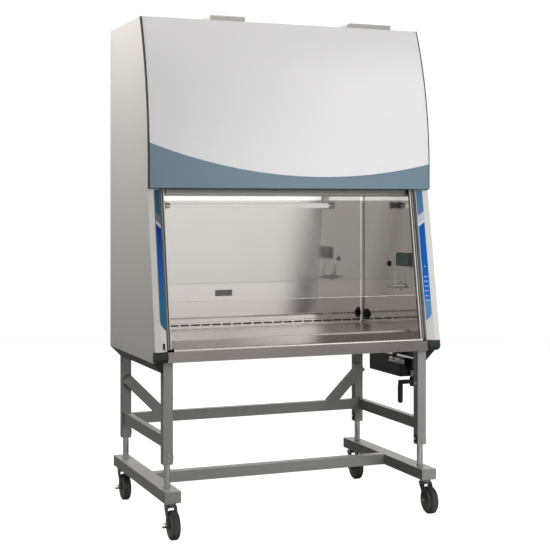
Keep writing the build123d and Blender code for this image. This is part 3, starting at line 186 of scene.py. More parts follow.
# A fill that lights paint but stays out of the glass and the metal.
fill = softbox("fill", (0.85, -2.6, 1.35), (0.15, -0.3, 1.45), 1.2, 2.4, 59)
fill.visible_glossy = False
fill.visible_transmission = False
# The cabinet's own tube light, tucked under the front of the chamber's ceiling.
softbox("work_light", (0, -0.195, 1.464), (0, 0.275, 1.30), 1.16, 0.03, 0.12)
softbox("top", (0, -0.3, 5.2), (0, 0, 2.2), 3.0, 2.0, 28)


# ---------------------------------------------------------------- Feet and lower rail
# Closed channel feet and a cross rail of welded steel tube, sprayed with grey paint that
# is a little dusty and rubbed near the floor.
def node_group(name, inputs, outputs):
    """Empty shader node group with named sockets, and its input and output nodes."""
    group = bpy.data.node_groups.new(name, "ShaderNodeTree")
    for label, kind, value in inputs:
        socket = group.interface.new_socket(label, in_out="INPUT", socket_type=kind)
        if value is not None:
            socket.default_value = value
    for label, kind in outputs:
        group.interface.new_socket(label, in_out="OUTPUT", socket_type=kind)
    return group, group.nodes.new("NodeGroupInput"), group.nodes.new("NodeGroupOutput")


def noise_node(tree, vector, scale, detail=2.0):
    """Noise texture's value at a scale given as a number or a socket."""
    node = tree.nodes.new("ShaderNodeTexNoise")
    node.inputs["Detail"].default_value = detail
    tree.links.new(vector, node.inputs["Vector"])
    if isinstance(scale, (int, float)):
        node.inputs["Scale"].default_value = scale
    else:
        tree.links.new(scale, node.inputs["Scale"])
    return node.outputs["Fac"]


def mix_colour(tree, amount, first, second):
    """Colour mix of two sockets or plain colours."""
    node = tree.nodes.new("ShaderNodeMix")
    node.data_type = "RGBA"
    for socket, value in ((node.inputs[0], amount), (node.inputs[6], first), (node.inputs[7], second)):
        if isinstance(value, (int, float)):
            socket.default_value = value
        elif isinstance(value, tuple):
            socket.default_value = (*value, 1)
        else:
            tree.links.new(value, socket)
    return node.outputs[2]


def scaled_colour(tree, colour, amount):
    """Colour socket times a number socket."""
    node = tree.nodes.new("ShaderNodeVectorMath")
    node.operation = "SCALE"
    tree.links.new(colour, node.inputs[0])
    tree.links.new(amount, node.inputs["Scale"])
    return node.outputs[0]


def add_relief(tree, shader, height, strength, distance):
    """Bumps the shader's surface by a height socket."""
    relief = tree.nodes.new("ShaderNodeBump")
    relief.inputs["Strength"].default_value = strength
    relief.inputs["Distance"].default_value = distance
    tree.links.new(height, relief.inputs["Height"])
    tree.links.new(relief.outputs["Normal"], shader.inputs["Normal"])


FLOAT, COLOUR, VECTOR = "NodeSocketFloat", "NodeSocketColor", "NodeSocketVector"

# Fine grain: a slow drift of tone and gloss over the piece, and a small bumpy texture.
grain, grain_in, grain_out = node_group(
    "fine_grain",
    [
        ("Vector", VECTOR, None),
        ("Colour", COLOUR, (0.5, 0.5, 0.5, 1)),
        ("Drift", FLOAT, 0.06),
        ("Roughness", FLOAT, 0.4),
        ("Gloss Drift", FLOAT, 0.08),
        ("Grain Scale", FLOAT, 900.0),
    ],
    [("Colour", COLOUR), ("Roughness", FLOAT), ("Height", FLOAT)],
)
slow = noise_node(grain, grain_in.outputs["Vector"], 5.0, 3.0)
centred = math_node(grain, "SUBTRACT", slow, 0.5)
tone = math_node(grain, "MULTIPLY", centred, grain_in.outputs["Drift"])
tone_up = math_node(grain, "ADD", tone, 1.0)
tint = scaled_colour(grain, grain_in.outputs["Colour"], tone_up)
gloss = math_node(grain, "MULTIPLY", centred, grain_in.outputs["Gloss Drift"])
gloss_up = math_node(grain, "ADD", gloss, grain_in.outputs["Roughness"])
fine = noise_node(grain, grain_in.outputs["Vector"], grain_in.outputs["Grain Scale"], 1.0)
grain.links.new(tint, grain_out.inputs["Colour"])
grain.links.new(gloss_up, grain_out.inputs["Roughness"])
grain.links.new(fine, grain_out.inputs["Height"])

# Floor dust: a pale film in broken patches, thickest on upward faces near the floor.
dust, dust_in, dust_out = node_group(
    "floor_dust",
    [
        ("Vector", VECTOR, None),
        ("Colour", COLOUR, (0.5, 0.5, 0.5, 1)),
        ("Dust Colour", COLOUR, (0.42, 0.39, 0.35, 1)),
        ("Reach", FLOAT, 0.3),
        ("Amount", FLOAT, 0.5),
    ],
    [("Colour", COLOUR), ("Mask", FLOAT)],
)
dust_xyz = split_xyz(dust, dust_in.outputs["Vector"])
high = math_node(dust, "DIVIDE", dust_xyz["Z"], dust_in.outputs["Reach"])
low = math_node(dust, "SUBTRACT", 1.0, high, clamp=True)
patches = noise_node(dust, dust_in.outputs["Vector"], 38.0, 5.0)
face_xyz = split_xyz(dust, dust.nodes.new("ShaderNodeNewGeometry").outputs["Normal"])
upward = math_node(dust, "MULTIPLY_ADD", face_xyz["Z"], 0.5, 0.6)
film = math_node(dust, "MULTIPLY", math_node(dust, "MULTIPLY", low, patches), upward)
film_mask = math_node(dust, "MULTIPLY", film, dust_in.outputs["Amount"], clamp=True)
dust.links.new(
    mix_colour(dust, film_mask, dust_in.outputs["Colour"], dust_in.outputs["Dust Colour"]),
    dust_out.inputs["Colour"],
)
dust.links.new(film_mask, dust_out.inputs["Mask"])


def finish(name, colour, roughness, metallic=0.0, drift=0.06, gloss_drift=0.08, grain_scale=900.0,
           bump=0.05, dusty=0.0, dust_reach=0.35, coat=0.0, specular=0.5):
    """Material with the fine grain, and dust near the floor where it is wanted."""
    material, tree, shader = new_material(name)
    shader.inputs["Metallic"].default_value = metallic
    shader.inputs["Coat Weight"].default_value = coat
    shader.inputs["Coat Roughness"].default_value = 0.12
    shader.inputs["Specular IOR Level"].default_value = specular
    place = tree.nodes.new("ShaderNodeTexCoord").outputs["Object"]
    texture = tree.nodes.new("ShaderNodeGroup")
    texture.node_tree = grain
    texture.name = "grain"
    texture.inputs["Colour"].default_value = (*colour, 1)
    texture.inputs["Drift"].default_value = drift
    texture.inputs["Roughness"].default_value = roughness
    texture.inputs["Gloss Drift"].default_value = gloss_drift
    texture.inputs["Grain Scale"].default_value = grain_scale
    tree.links.new(place, texture.inputs["Vector"])
    colour_out = texture.outputs["Colour"]
    if dusty:
        layer = tree.nodes.new("ShaderNodeGroup")
        layer.node_tree = dust
        layer.inputs["Amount"].default_value = dusty
        layer.inputs["Reach"].default_value = dust_reach
        tree.links.new(place, layer.inputs["Vector"])
        tree.links.new(colour_out, layer.inputs["Colour"])
        colour_out = layer.outputs["Colour"]
    tree.links.new(colour_out, shader.inputs["Base Color"])
    tree.links.new(texture.outputs["Roughness"], shader.inputs["Roughness"])
    add_relief(tree, shader, texture.outputs["Height"], bump, 0.0003)
    return material


def dress(material, *nodes):
    """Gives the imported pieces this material."""
    for node in nodes:
        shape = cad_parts[node]
        if not shape.material_slots:
            shape.data.materials.append(material)
        for spot in shape.material_slots:
            spot.material = material


stand_paint = finish("stand_paint", (0.225, 0.228, 0.215), 0.42, drift=0.12, bump=0.12, dusty=0.5)
dress(stand_paint, "feet", "lower_rail", "leg_tubes", "mid_rails", "diagonal_braces")


# ---------------------------------------------------------------- Lift rods
# Ground and chromed steel rods, welded to the feet with a bead round each.
rod_chrome = finish("rod_chrome", (0.78, 0.78, 0.77), 0.13, metallic=1.0, drift=0.05, bump=0.02)
dress(rod_chrome, "lift_rods", "service_valve", "valve_lever")


def new_piece(name, form, material, body, smooth_below=35):
    """Object from a finished bmesh, with soft shading except over its sharp edges."""
    bmesh.ops.remove_doubles(form, verts=form.verts, dist=1e-6)
    bmesh.ops.recalc_face_normals(form, faces=form.faces)
    for face in form.faces:
        face.smooth = True
    for edge in form.edges:
        edge.smooth = edge.is_manifold and edge.calc_face_angle(0) < math.radians(smooth_below)
    mesh = bpy.data.meshes.new(name)
    form.to_mesh(mesh)
    form.free()
    mesh.materials.append(material)
    obj = bpy.data.objects.new(name, mesh)
    scene.collection.objects.link(obj)
    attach(obj, body)
    return obj


def facing_way(place, way, turn=0.0):
    """Matrix that stands a shape's own +Z along a direction at a place."""
    aim = Vector(way).to_track_quat("Z", "Y").to_matrix().to_4x4()
    return Matrix.Translation(place) @ aim @ Matrix.Rotation(turn, 4, "Z")


def add_turned(form, rings, matrix, segments=24):
    """Turned solid from (radius, height) rings, closed at both ends."""
    made = []
    for radius, height in rings:
        circle = bmesh.ops.create_circle(form, segments=segments, radius=radius)["verts"]
        bmesh.ops.translate(form, verts=circle, vec=(0, 0, height))
        bmesh.ops.transform(form, matrix=matrix, verts=circle)
        edges = {edge for vert in circle for edge in vert.link_edges}
        if made:
            bmesh.ops.bridge_loops(form, edges=list(edges | made[-1]))
        made.append(edges)
    for ends in (made[0], made[-1]):
        bmesh.ops.contextual_create(form, geom=list(ends))


leg_x = 0.6185
leg_ys = (-0.30775, 0.37225)
rod_spots = [(x, y) for x in (-leg_x, leg_x) for y in leg_ys]
foot_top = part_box("feet")[1].z
bead_form = bmesh.new()
for x, y in rod_spots:
    for step in range(2):
        add_turned(
            bead_form,
            [(0.0165 - 0.001 * step, 0.0), (0.0172 - 0.0012 * step, 0.001), (0.0146, 0.0035)],
            Matrix.Translation((x, y, foot_top + 0.0018 * step)),
        )
new_piece("rod_weld_beads", bead_form, stand_paint, "base")


# ---------------------------------------------------------------- Upper legs and their fixings
# Hex bolts with washers hold the plastic rod guides and the top brackets in the legs.
# The guides are black plastic and the bolts are zinc plated.
zinc = finish("zinc", (0.60, 0.60, 0.58), 0.34, metallic=1.0, drift=0.1, bump=0.04, dusty=0.15)
black_moulding = finish("black_moulding", (0.018, 0.023, 0.022), 0.46, drift=0.2, bump=0.16,
                        grain_scale=1400.0, specular=0.3)
dress(black_moulding, "rod_guides")


def add_bolt(form, place, way, across, height, washer=0.0):
    """Hex head with a chamfered crown, on a washer if it has one."""
    turned = facing_way(place, way, 0.26)
    if washer:
        add_turned(form, [(washer, 0), (washer, 0.0012), (washer - 0.0004, 0.0016)], turned, 24)
    radius = across / math.sqrt(3)
    seat = 0.0016 if washer else 0.0
    add_turned(
        form,
        [(radius, seat), (radius, seat + height * 0.85), (radius * 0.84, seat + height)],
        turned,
        6,
    )


def add_screw(form, place, way, radius, height):
    """Pan-head screw with a cross recess pressed into its crown."""
    turned = facing_way(place, way, 0.4)
    add_turned(form, [(radius, 0), (radius * 0.98, height * 0.45), (radius * 0.72, height * 0.9),
                      (radius * 0.30, height)], turned, 20)
    for quarter in (0, math.pi / 2):
        bar = bmesh.ops.create_cube(form, size=1.0)["verts"]
        bmesh.ops.scale(form, vec=(radius * 0.95, radius * 0.2, height * 0.12), verts=bar)
        bmesh.ops.transform(
            form,
            matrix=turned @ Matrix.Rotation(quarter, 4, "Z") @ Matrix.Translation((0, 0, height * 0.98)),
            verts=bar,
        )


leg_half = 0.0215
leg_face = leg_x - leg_half
guide_bolt_z, bracket_bolt_z = 0.332, 0.589
side_bolt_zs = (0.322, 0.343)
leg_bolts = bmesh.new()
for side in (-1, 1):
    for y in leg_ys:
        for z in (guide_bolt_z, bracket_bolt_z):
            add_bolt(leg_bolts, (side * leg_face, y, z), (-side, 0, 0), 0.013, 0.0055, 0.0105)
        outward = -1 if y < 0 else 1
        for z in side_bolt_zs:
            add_bolt(leg_bolts, (side * leg_x, y + outward * leg_half, z), (0, outward, 0), 0.008, 0.003)
new_piece("leg_bolts", leg_bolts, zinc, "cabinet")


def add_block(form, size, place, soften=0.0, turn=None):
    """Box of a size centred on a place, with its edges eased."""
    made = bmesh.ops.create_cube(form, size=1.0)["verts"]
    bmesh.ops.scale(form, vec=size, verts=made)
    if turn is not None:
        bmesh.ops.transform(form, matrix=turn, verts=made)
    bmesh.ops.translate(form, vec=place, verts=made)
    if soften:
        edges = {edge for vert in made for edge in vert.link_edges}
        bmesh.ops.bevel(form, geom=list(edges), offset=soften, segments=2, affect="EDGES",
                        profile=0.5, material=-1)


tab_t = 0.004
leg_tabs = bmesh.new()
for side in (-1, 1):
    for y in leg_ys:
        add_block(leg_tabs, (tab_t, 0.026, 0.030), (side * (leg_face - tab_t / 2), y, guide_bolt_z), 0.001)
new_piece("guide_retaining_plates", leg_tabs, black_moulding, "cabinet")


# ---------------------------------------------------------------- Casters
# Four swivel casters: zinc stem plate and raceway, black pressed fork, grey nylon hub
# with a bearing cap, black rubber tyre and a step-on brake pedal.
fork_black = finish("fork_black", (0.020, 0.021, 0.022), 0.36, metallic=0.3, drift=0.2, bump=0.08, dusty=0.35)
hub_nylon = finish("hub_nylon", (0.165, 0.165, 0.16), 0.5, drift=0.15, bump=0.1, dusty=0.6, dust_reach=0.2)
tyre_rubber = finish("tyre_rubber", (0.014, 0.014, 0.014), 0.72, drift=0.3, bump=0.25,
                     grain_scale=1600.0, dusty=0.8, dust_reach=0.11)
dress(zinc, "caster_stems")
caster_trail = 0.040  # from the wheel's axle forward to the stem
for place in ("front_left", "front_right", "rear_left", "rear_right"):
    dress(fork_black, place + "_fork", place + "_pedal")
    dress(hub_nylon, place + "_hub")
    dress(tyre_rubber, place + "_tyre")
    low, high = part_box(place + "_tyre")
    wheel = (low + high) / 2
    stem_y = wheel.y + caster_trail

    raceway = bmesh.new()
    for height, radius in ((0.1315, 0.0262), (0.1425, 0.0246)):
        add_turned(
            raceway,
            [(radius - 0.001, 0), (radius, 0.0012), (radius, 0.0042), (radius - 0.0015, 0.0055)],
            Matrix.Translation((wheel.x, stem_y, height)),
            40,
        )
    new_piece(place + "_raceway", raceway, zinc, place + "_swivel")

    axle_bolt = bmesh.new()
    low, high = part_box(place + "_fork")
    add_bolt(axle_bolt, (low.x, wheel.y, wheel.z), (-1, 0, 0), 0.015, 0.005)
    add_bolt(axle_bolt, (high.x, wheel.y, wheel.z), (1, 0, 0), 0.015, 0.005)
    new_piece(place + "_axle_nuts", axle_bolt, zinc, place + "_swivel")

    # Bearing caps and ribs moulded on both faces of the hub.
    ribs = bmesh.new()
    for side in (-1, 1):
        for step in range(8):
            turn = Matrix.Rotation(step * math.pi / 4, 4, "X")
            offset = turn @ Vector((side * 0.0142, 0, 0.030))
            add_block(ribs, (0.0028, 0.0035, 0.027), wheel + offset, 0.0005, turn)
        add_turned(ribs, [(0.0455, 0.0), (0.0455, 0.0022), (0.0440, 0.0030)],
                   facing_way(wheel + Vector((side * 0.0118, 0, 0)), (side, 0, 0)), 48)
    new_piece(place + "_hub_ribs", ribs, hub_nylon, place + "_wheel")

    # Ribbed rubber pad on the brake pedal's tread.
    low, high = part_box(place + "_pedal")
    pad = bmesh.new()
    for step in range(4):
        add_block(pad, (0.0022, 0.016, 0.0012),
                  (low.x + 0.004 + 0.0045 * step, high.y - 0.030, high.z + 0.0004), 0.0003)
    new_piece(place + "_pedal_ribs", pad, tyre_rubber, place + "_brake")


# ---------------------------------------------------------------- Base rails, pump and crank
# Black tapered rails carry the cabinet. The lift pump hangs between them on a steel
# bracket plate, and the crank's shaft runs in a chromed sleeve.
black_enamel = finish("black_enamel", (0.010, 0.011, 0.012), 0.36, drift=0.2, bump=0.06, specular=0.3)
dress(black_enamel, "base_rails", "lift_pump", "crank")
dress(black_moulding, "crank_grip")

pump_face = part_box("lift_pump")[0].x
bracket_y, bracket_len, bracket_t = -0.110, 0.150, 0.003
bracket_foot_z, bracket_web_z, pump_bolt_z = 0.668, 0.677, 0.681
bracket = bmesh.new()
add_block(bracket, (0.012, bracket_len, bracket_t), (pump_face - 0.006, bracket_y, bracket_foot_z), 0.0006)
add_block(bracket, (bracket_t, bracket_len, 0.022),
          (pump_face - bracket_t / 2, bracket_y, bracket_web_z), 0.0006)
for y in (-0.165, -0.080):
    add_bolt(bracket, (pump_face - bracket_t, y, pump_bolt_z), (-1, 0, 0), 0.011, 0.006, 0.008)
new_piece("pump_bracket_plate", bracket, zinc, "cabinet")

crank_low, crank_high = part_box("crank")
crank_x = 0.657
sleeve_z = 0.603
hub_foot = 0.0862  # the hub's underside above the crank's lowest point
crank_axis = Vector((crank_x, (crank_low.y + crank_high.y) / 2, 0))
sleeve = bmesh.new()
add_turned(sleeve, [(0.0125, 0), (0.0135, 0.001), (0.0135, 0.029), (0.0125, 0.030)],
           Matrix.Translation(crank_axis + Vector((0, 0, sleeve_z))), 32)
new_piece("crank_sleeve", sleeve, rod_chrome, "crank")

crank_nut = bmesh.new()
add_bolt(crank_nut, crank_axis + Vector((0, 0, crank_low.z + hub_foot)), (0, 0, -1), 0.019, 0.006, 0.013)
new_piece("crank_nut", crank_nut, zinc, "crank")

grip_low, grip_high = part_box("crank_grip")
grip_mid = (grip_low + grip_high) / 2
grip_rings = bmesh.new()
for step in range(9):
    add_turned(
        grip_rings,
        [(0.0122, 0), (0.0131, 0.0006), (0.0131, 0.0016), (0.0122, 0.0022)],
        Matrix.Translation((grip_mid.x, grip_mid.y, grip_low.z + 0.012 + 0.0075 * step)),
        28,
    )
new_piece("crank_grip_rings", grip_rings, black_moulding, "grip")


# ---------------------------------------------------------------- Cabinet shell
# Side, back and roof panels of folded steel sheet with a warm grey powder coat, fixed
# with pan-head screws.
shell_coat = finish("shell_coat", (0.56, 0.545, 0.515), 0.46, drift=0.05, bump=0.18, grain_scale=700.0)
dress(shell_coat, "left_side_panel", "right_side_panel", "back_panel", "top_panel",
      "exhaust_guard", "service_box", "front_posts")
shell_half = -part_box("left_side_panel")[0].x
flat_head = 0.0003  # height of a flat screw's head, nearly all of it sunk
flat_sink = 0.00026
side_screws = bmesh.new()
for side in (-1, 1):
    for y, z in ((-0.0988, 2.089), (-0.3298, 0.910), (0.355, 2.20), (0.355, 1.50), (0.355, 0.80)):
        add_screw(side_screws, (side * (shell_half - flat_sink), y, z), (side, 0, 0), 0.0042, flat_head)
new_piece("side_panel_screws", side_screws, black_moulding, "cabinet")

back_screws = bmesh.new()
back_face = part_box("back_panel")[1].y
for x in (-0.64, -0.32, 0.0, 0.32, 0.64):
    for z in (0.768, 1.50, 2.242):
        add_screw(back_screws, (x, back_face, z), (0, 1, 0), 0.005, 0.0024)
for x in (-0.64, 0.64):
    for z in (1.13, 1.87):
        add_screw(back_screws, (x, back_face, z), (0, 1, 0), 0.005, 0.0024)
new_piece("back_panel_screws", back_screws, zinc, "cabinet")


# ---------------------------------------------------------------- Hood
# One rolled sheet with an off-white satin coat, a slate blue band sprayed along its lower
# part, and black rubber seals at both edges. The black strip underneath is painted shade for the gap below
# the hood.
hood_coat = finish("hood_coat", (0.70, 0.69, 0.695), 0.34, drift=0.03, gloss_drift=0.05, bump=0.10, coat=0.15)
band_coat = finish("band_coat", (0.125, 0.190, 0.235), 0.36, drift=0.05, bump=0.10, coat=0.3)
seal_and_shade_black = finish("seal_and_shade_black", (0.012, 0.015, 0.014), 0.55, drift=0.2, bump=0.2)
dress(hood_coat, "hood_panel")
dress(band_coat, "hood_band")
dress(seal_and_shade_black, "hood_seals")
dress(zinc, "hood_hinges")
hood_low, hood_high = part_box("hood_panel")
# A black strip under the hood's lower edge: painted shade for the gap there.
lip_shade_strip = bmesh.new()
add_block(lip_shade_strip, (hood_high.x - hood_low.x, 0.016, 0.004),
          (0, hood_low.y + 0.0095, hood_low.z - 0.0018), 0.001)
new_piece("hood_lip_shade_strip", lip_shade_strip, seal_and_shade_black, "hood")


# ---------------------------------------------------------------- Post caps and overlays
# Moulded black caps close the posts' feet. Printed polyester films cover the slanted
# post faces: a membrane keypad on the right and a plain film on the left.
dress(black_moulding, "post_caps")
post_in_x, post_corner_x = 0.631, 0.6627  # the slanted face's inner and outer edges
border_in, border_out = 0.6335, 0.6585  # the print runs between these
film_low, film_high = 0.88, 1.50
front_foot_y, front_foot_z = -0.37275, 0.805
front_lean = 0.1693  # how far the front leans back for each unit of height


def front_y(height):
    """Y of the cabinet's leaning front at a height."""
    return front_foot_y + (height - front_foot_z) * front_lean


def overlay_film(name, zones, tilt, border):
    """Printed film: colours by height, a slanted top edge to the zones, and a pale border."""
    material = finish(name, (0.5, 0.5, 0.5), 0.38, drift=0.02, bump=0.03, specular=0.08)
    tree = material.node_tree
    parts = split_xyz(tree, tree.nodes.new("ShaderNodeTexCoord").outputs["Object"])
    across = math_node(tree, "ABSOLUTE", parts["X"])
    from_inside = math_node(tree, "SUBTRACT", across, post_in_x)
    drop = math_node(tree, "MULTIPLY", from_inside, tilt)
    height = math_node(tree, "SUBTRACT", parts["Z"], drop)
    stops = [((level - film_low) / (film_high - film_low), colour) for level, colour in zones]
    ink = colour_ramp(tree, map_range(tree, height, film_low, film_high), stops)
    outer = math_node(tree, "GREATER_THAN", across, border_out)
    inner = math_node(tree, "LESS_THAN", across, border_in)
    edge = math_node(tree, "MAXIMUM", outer, inner)
    printed = mix_colour(tree, edge, ink, border)
    tree.links.new(printed, tree.nodes["grain"].inputs["Colour"])
    return material


white_ink = (0.62, 0.66, 0.70)
blue_ink = (0.003, 0.135, 0.47)
keypad_film = overlay_film(
    "keypad_film",
    [
        (0.880, (0.085, 0.235, 0.45)), (0.966, (0.085, 0.235, 0.45)), (0.970, blue_ink),
        (1.321, (0.008, 0.10, 0.38)), (1.323, white_ink), (1.334, white_ink), (1.336, (0.50, 0.53, 0.55)),
        (1.372, (0.50, 0.53, 0.55)), (1.374, (0.095, 0.19, 0.33)), (1.50, (0.085, 0.165, 0.30)),
    ],
    0.88,
    white_ink,
)
plain_film = overlay_film(
    "plain_film",
    [
        (0.880, (0.02, 0.11, 0.14)), (0.950, (0.012, 0.12, 0.22)), (1.10, (0.012, 0.085, 0.33)),
        (1.28, (0.010, 0.030, 0.22)), (1.321, (0.008, 0.016, 0.14)), (1.323, (0.42, 0.44, 0.46)),
        (1.336, (0.42, 0.44, 0.46)), (1.338, (0.12, 0.125, 0.13)), (1.372, (0.10, 0.12, 0.13)),
        (1.374, (0.030, 0.075, 0.10)), (1.50, (0.025, 0.06, 0.085)),
    ],
    0.88,
    (0.10, 0.14, 0.19),
)
dress(keypad_film, "control_panel")
dress(plain_film, "left_overlay")

# Generic key marks and small lights printed on the keypad, one above the other.
white_print = finish("white_print", (0.80, 0.83, 0.86), 0.4, drift=0.02, bump=0.02)
film_mid_x, film_mid_back = 0.64625, 0.00805  # the keypad's middle line
mark_t = 0.0003
film_across = Vector((0.0305, -0.0185, 0)).normalized()
film_up = Vector((0, front_lean, 1.0)).normalized()
film_out = film_across.cross(film_up).normalized()
if film_out.y > 0:
    film_out = -film_out


def on_keypad(height, across=0.0):
    """Point on the keypad's face at a height, a distance across from its middle line."""
    return Vector((film_mid_x, front_y(height) + film_mid_back, height)) + film_across * across


marks = bmesh.new()
film_turn = Matrix((film_across, film_up, film_out)).transposed().to_4x4()


def add_mark(height, across, width, tall, turn=0.0):
    """Thin printed bar on the keypad's face."""
    bar_turn = film_turn @ Matrix.Rotation(turn, 4, "Z")
    add_block(marks, (width, tall, mark_t), on_keypad(height, across) + film_out * 0.0001, 0, bar_turn)


def add_ring_mark(height, across, radius):
    """Printed ring made of short bars."""
    for step in range(10):
        way = step * math.pi / 5
        spot_across = across + radius * math.cos(way)
        spot_height = height + radius * math.sin(way)
        add_mark(spot_height, spot_across, 0.0012, radius * 0.66, way)


add_mark(1.138, 0.0, 0.0040, 0.0040)
for index, height in enumerate((1.090, 1.068, 1.046, 1.024, 1.002, 0.980)):
    if index % 2:
        add_ring_mark(height, -0.004, 0.0042)
    else:
        add_mark(height, -0.004, 0.0090, 0.0016)
        add_mark(height, -0.004, 0.0016, 0.0090)
    add_mark(height + 0.002, 0.0065, 0.0060, 0.0014)
    add_mark(height - 0.002, 0.0065, 0.0045, 0.0014)
new_piece("keypad_marks", marks, white_print, "cabinet")


# ---------------------------------------------------------------- Sash tracks and glass
# Black extrusions with a pale inner edge and grey wiper lines hold a pane of clear
# safety glass, and iron counterweights balance it. The pane's ground lower edge shows as
# a pale line.
track_film = finish("track_black", (0.03, 0.03, 0.03), 0.45, drift=0.05, bump=0.05)
track_tree = track_film.node_tree
track_in_x = 0.606
track_xyz = split_xyz(track_tree, track_tree.nodes.new("ShaderNodeTexCoord").outputs["Object"])
track_across = math_node(track_tree, "ABSOLUTE", track_xyz["X"])
track_share = map_range(track_tree, track_across, track_in_x, post_in_x)
track_stops = [(0.0, (0.66, 0.62, 0.52)), (0.20, (0.02, 0.02, 0.02)), (0.44, (0.17, 0.20, 0.21)),
               (0.66, (0.02, 0.02, 0.02)), (0.90, (0.30, 0.31, 0.31))]
track_colour = colour_ramp(track_tree, track_share, track_stops, "CONSTANT")
track_tree.links.new(track_colour, track_tree.nodes["grain"].inputs["Colour"])
dress(track_film, "sash_tracks")

pane, pane_tree, pane_shader = new_material("safety_glass")
pane_shader.inputs["Base Color"].default_value = (0.96, 0.98, 0.97, 1)
pane_shader.inputs["Transmission Weight"].default_value = 1.0
pane_shader.inputs["IOR"].default_value = 1.45
pane_place = pane_tree.nodes.new("ShaderNodeTexCoord").outputs["Object"]
pane_smear = noise_node(pane_tree, pane_place, 6.0, 4.0)
pane_rough = math_node(pane_tree, "MULTIPLY", pane_smear, 0.02)
pane_tree.links.new(pane_rough, pane_shader.inputs["Roughness"])
dress(pane, "sash_glass")

ground_edge = finish("ground_edge", (0.74, 0.78, 0.74), 0.5, drift=0.05, bump=0.1)
edge_form = bmesh.new()
sash_low, sash_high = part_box("sash_glass")
glass_back = 0.037  # how far the glass lies behind the cabinet's front
edge_y = front_y(sash_low.z) + glass_back
add_block(edge_form, (sash_high.x - sash_low.x - 0.004, 0.0052, 0.0016),
          (0, edge_y, sash_low.z - 0.0008), 0.0003)
new_piece("sash_ground_edge", edge_form, ground_edge, "sash")
weight_iron = finish("weight_iron", (0.10, 0.10, 0.10), 0.6, metallic=0.6, drift=0.3, bump=0.3,
                     grain_scale=300.0)
dress(weight_iron, "counterweights")


# ---------------------------------------------------------------- Stainless chamber
# Brushed stainless sheet: liner, dished work surface, folded front sill, drain pan and
# the perforated air diffuser over the chamber.
brush, brush_in, brush_out = node_group(
    "brushed_lines",
    [
        ("Vector", VECTOR, None),
        ("Stretch", VECTOR, (1.0, 1.0, 60.0)),
        ("Colour", COLOUR, (0.6, 0.6, 0.6, 1)),
        ("Contrast", FLOAT, 0.08),
        ("Roughness", FLOAT, 0.28),
        ("Spread", FLOAT, 0.12),
    ],
    [("Colour", COLOUR), ("Roughness", FLOAT), ("Height", FLOAT)],
)
stretched = brush.nodes.new("ShaderNodeVectorMath")
stretched.operation = "MULTIPLY"
brush.links.new(brush_in.outputs["Vector"], stretched.inputs[0])
brush.links.new(brush_in.outputs["Stretch"], stretched.inputs[1])
lines = noise_node(brush, stretched.outputs[0], 14.0, 4.0)
clouds = noise_node(brush, brush_in.outputs["Vector"], 2.6, 2.0)
line_share = math_node(brush, "SUBTRACT", lines, 0.5)
cloud_share = math_node(brush, "SUBTRACT", clouds, 0.5)
both = math_node(brush, "ADD", line_share, cloud_share)
line_tone = math_node(brush, "MULTIPLY", both, brush_in.outputs["Contrast"])
line_tone_up = math_node(brush, "ADD", line_tone, 1.0)
line_tint = scaled_colour(brush, brush_in.outputs["Colour"], line_tone_up)
line_rough = math_node(brush, "MULTIPLY", both, brush_in.outputs["Spread"])
brush.links.new(line_tint, brush_out.inputs["Colour"])
line_rough_up = math_node(brush, "ADD", line_rough, brush_in.outputs["Roughness"])
brush.links.new(line_rough_up, brush_out.inputs["Roughness"])
brush.links.new(lines, brush_out.inputs["Height"])


def brushed(name, colour, roughness, stretch, contrast=0.08, bump=0.05):
    """Brushed metal sheet whose lines run along the unstretched direction."""
    material, tree, shader = new_material(name)
    shader.inputs["Metallic"].default_value = 1.0
    place = tree.nodes.new("ShaderNodeTexCoord").outputs["Object"]
    texture = tree.nodes.new("ShaderNodeGroup")
    texture.node_tree = brush
    texture.name = "brush"
    texture.inputs["Stretch"].default_value = stretch
    texture.inputs["Colour"].default_value = (*colour, 1)
    texture.inputs["Contrast"].default_value = contrast
    texture.inputs["Roughness"].default_value = roughness
    tree.links.new(place, texture.inputs["Vector"])
    tree.links.new(texture.outputs["Colour"], shader.inputs["Base Color"])
    tree.links.new(texture.outputs["Roughness"], shader.inputs["Roughness"])
    add_relief(tree, shader, texture.outputs["Height"], bump, 0.0002)
    return material


liner_steel = brushed("liner_steel", (0.65, 0.62, 0.605), 0.055, (1.0, 1.0, 45.0), 0.05, 0.004)
work_steel = brushed("work_steel", (0.76, 0.735, 0.715), 0.31, (1.0, 45.0, 45.0), 0.08, 0.04)
# The sill's steel has a darker, taupe base: painted shade standing in for the darker reflection the sill
# shows. The liner seam uses the same steel as a dark joint.
shaded_sill_and_seam_steel = brushed("shaded_sill_and_seam_steel", (0.50, 0.465, 0.45), 0.30, (1.0, 45.0, 45.0), 0.10, 0.05)
diffuser_steel = brushed("diffuser_steel", (0.42, 0.41, 0.39), 0.4, (1.0, 45.0, 45.0), 0.06, 0.04)
dress(liner_steel, "liner", "drain_pan")
dress(work_steel, "work_surface")
dress(shaded_sill_and_seam_steel, "front_sill")
dress(diffuser_steel, "diffuser")

# A seam bead where the liner's lower strip is welded on, and a bare plate on the back.
back_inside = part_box("liner")[1].y - 0.002
seam_z = 0.8535
seam = bmesh.new()
add_block(seam, (1.18, 0.0012, 0.0016), (0, back_inside - 0.0004, seam_z), 0.0003)
for side in (-1, 1):
    add_block(seam, (0.0012, 0.44, 0.0016), (side * 0.6028, 0.035, seam_z), 0.0003)
new_piece("liner_seam", seam, shaded_sill_and_seam_steel, "cabinet")

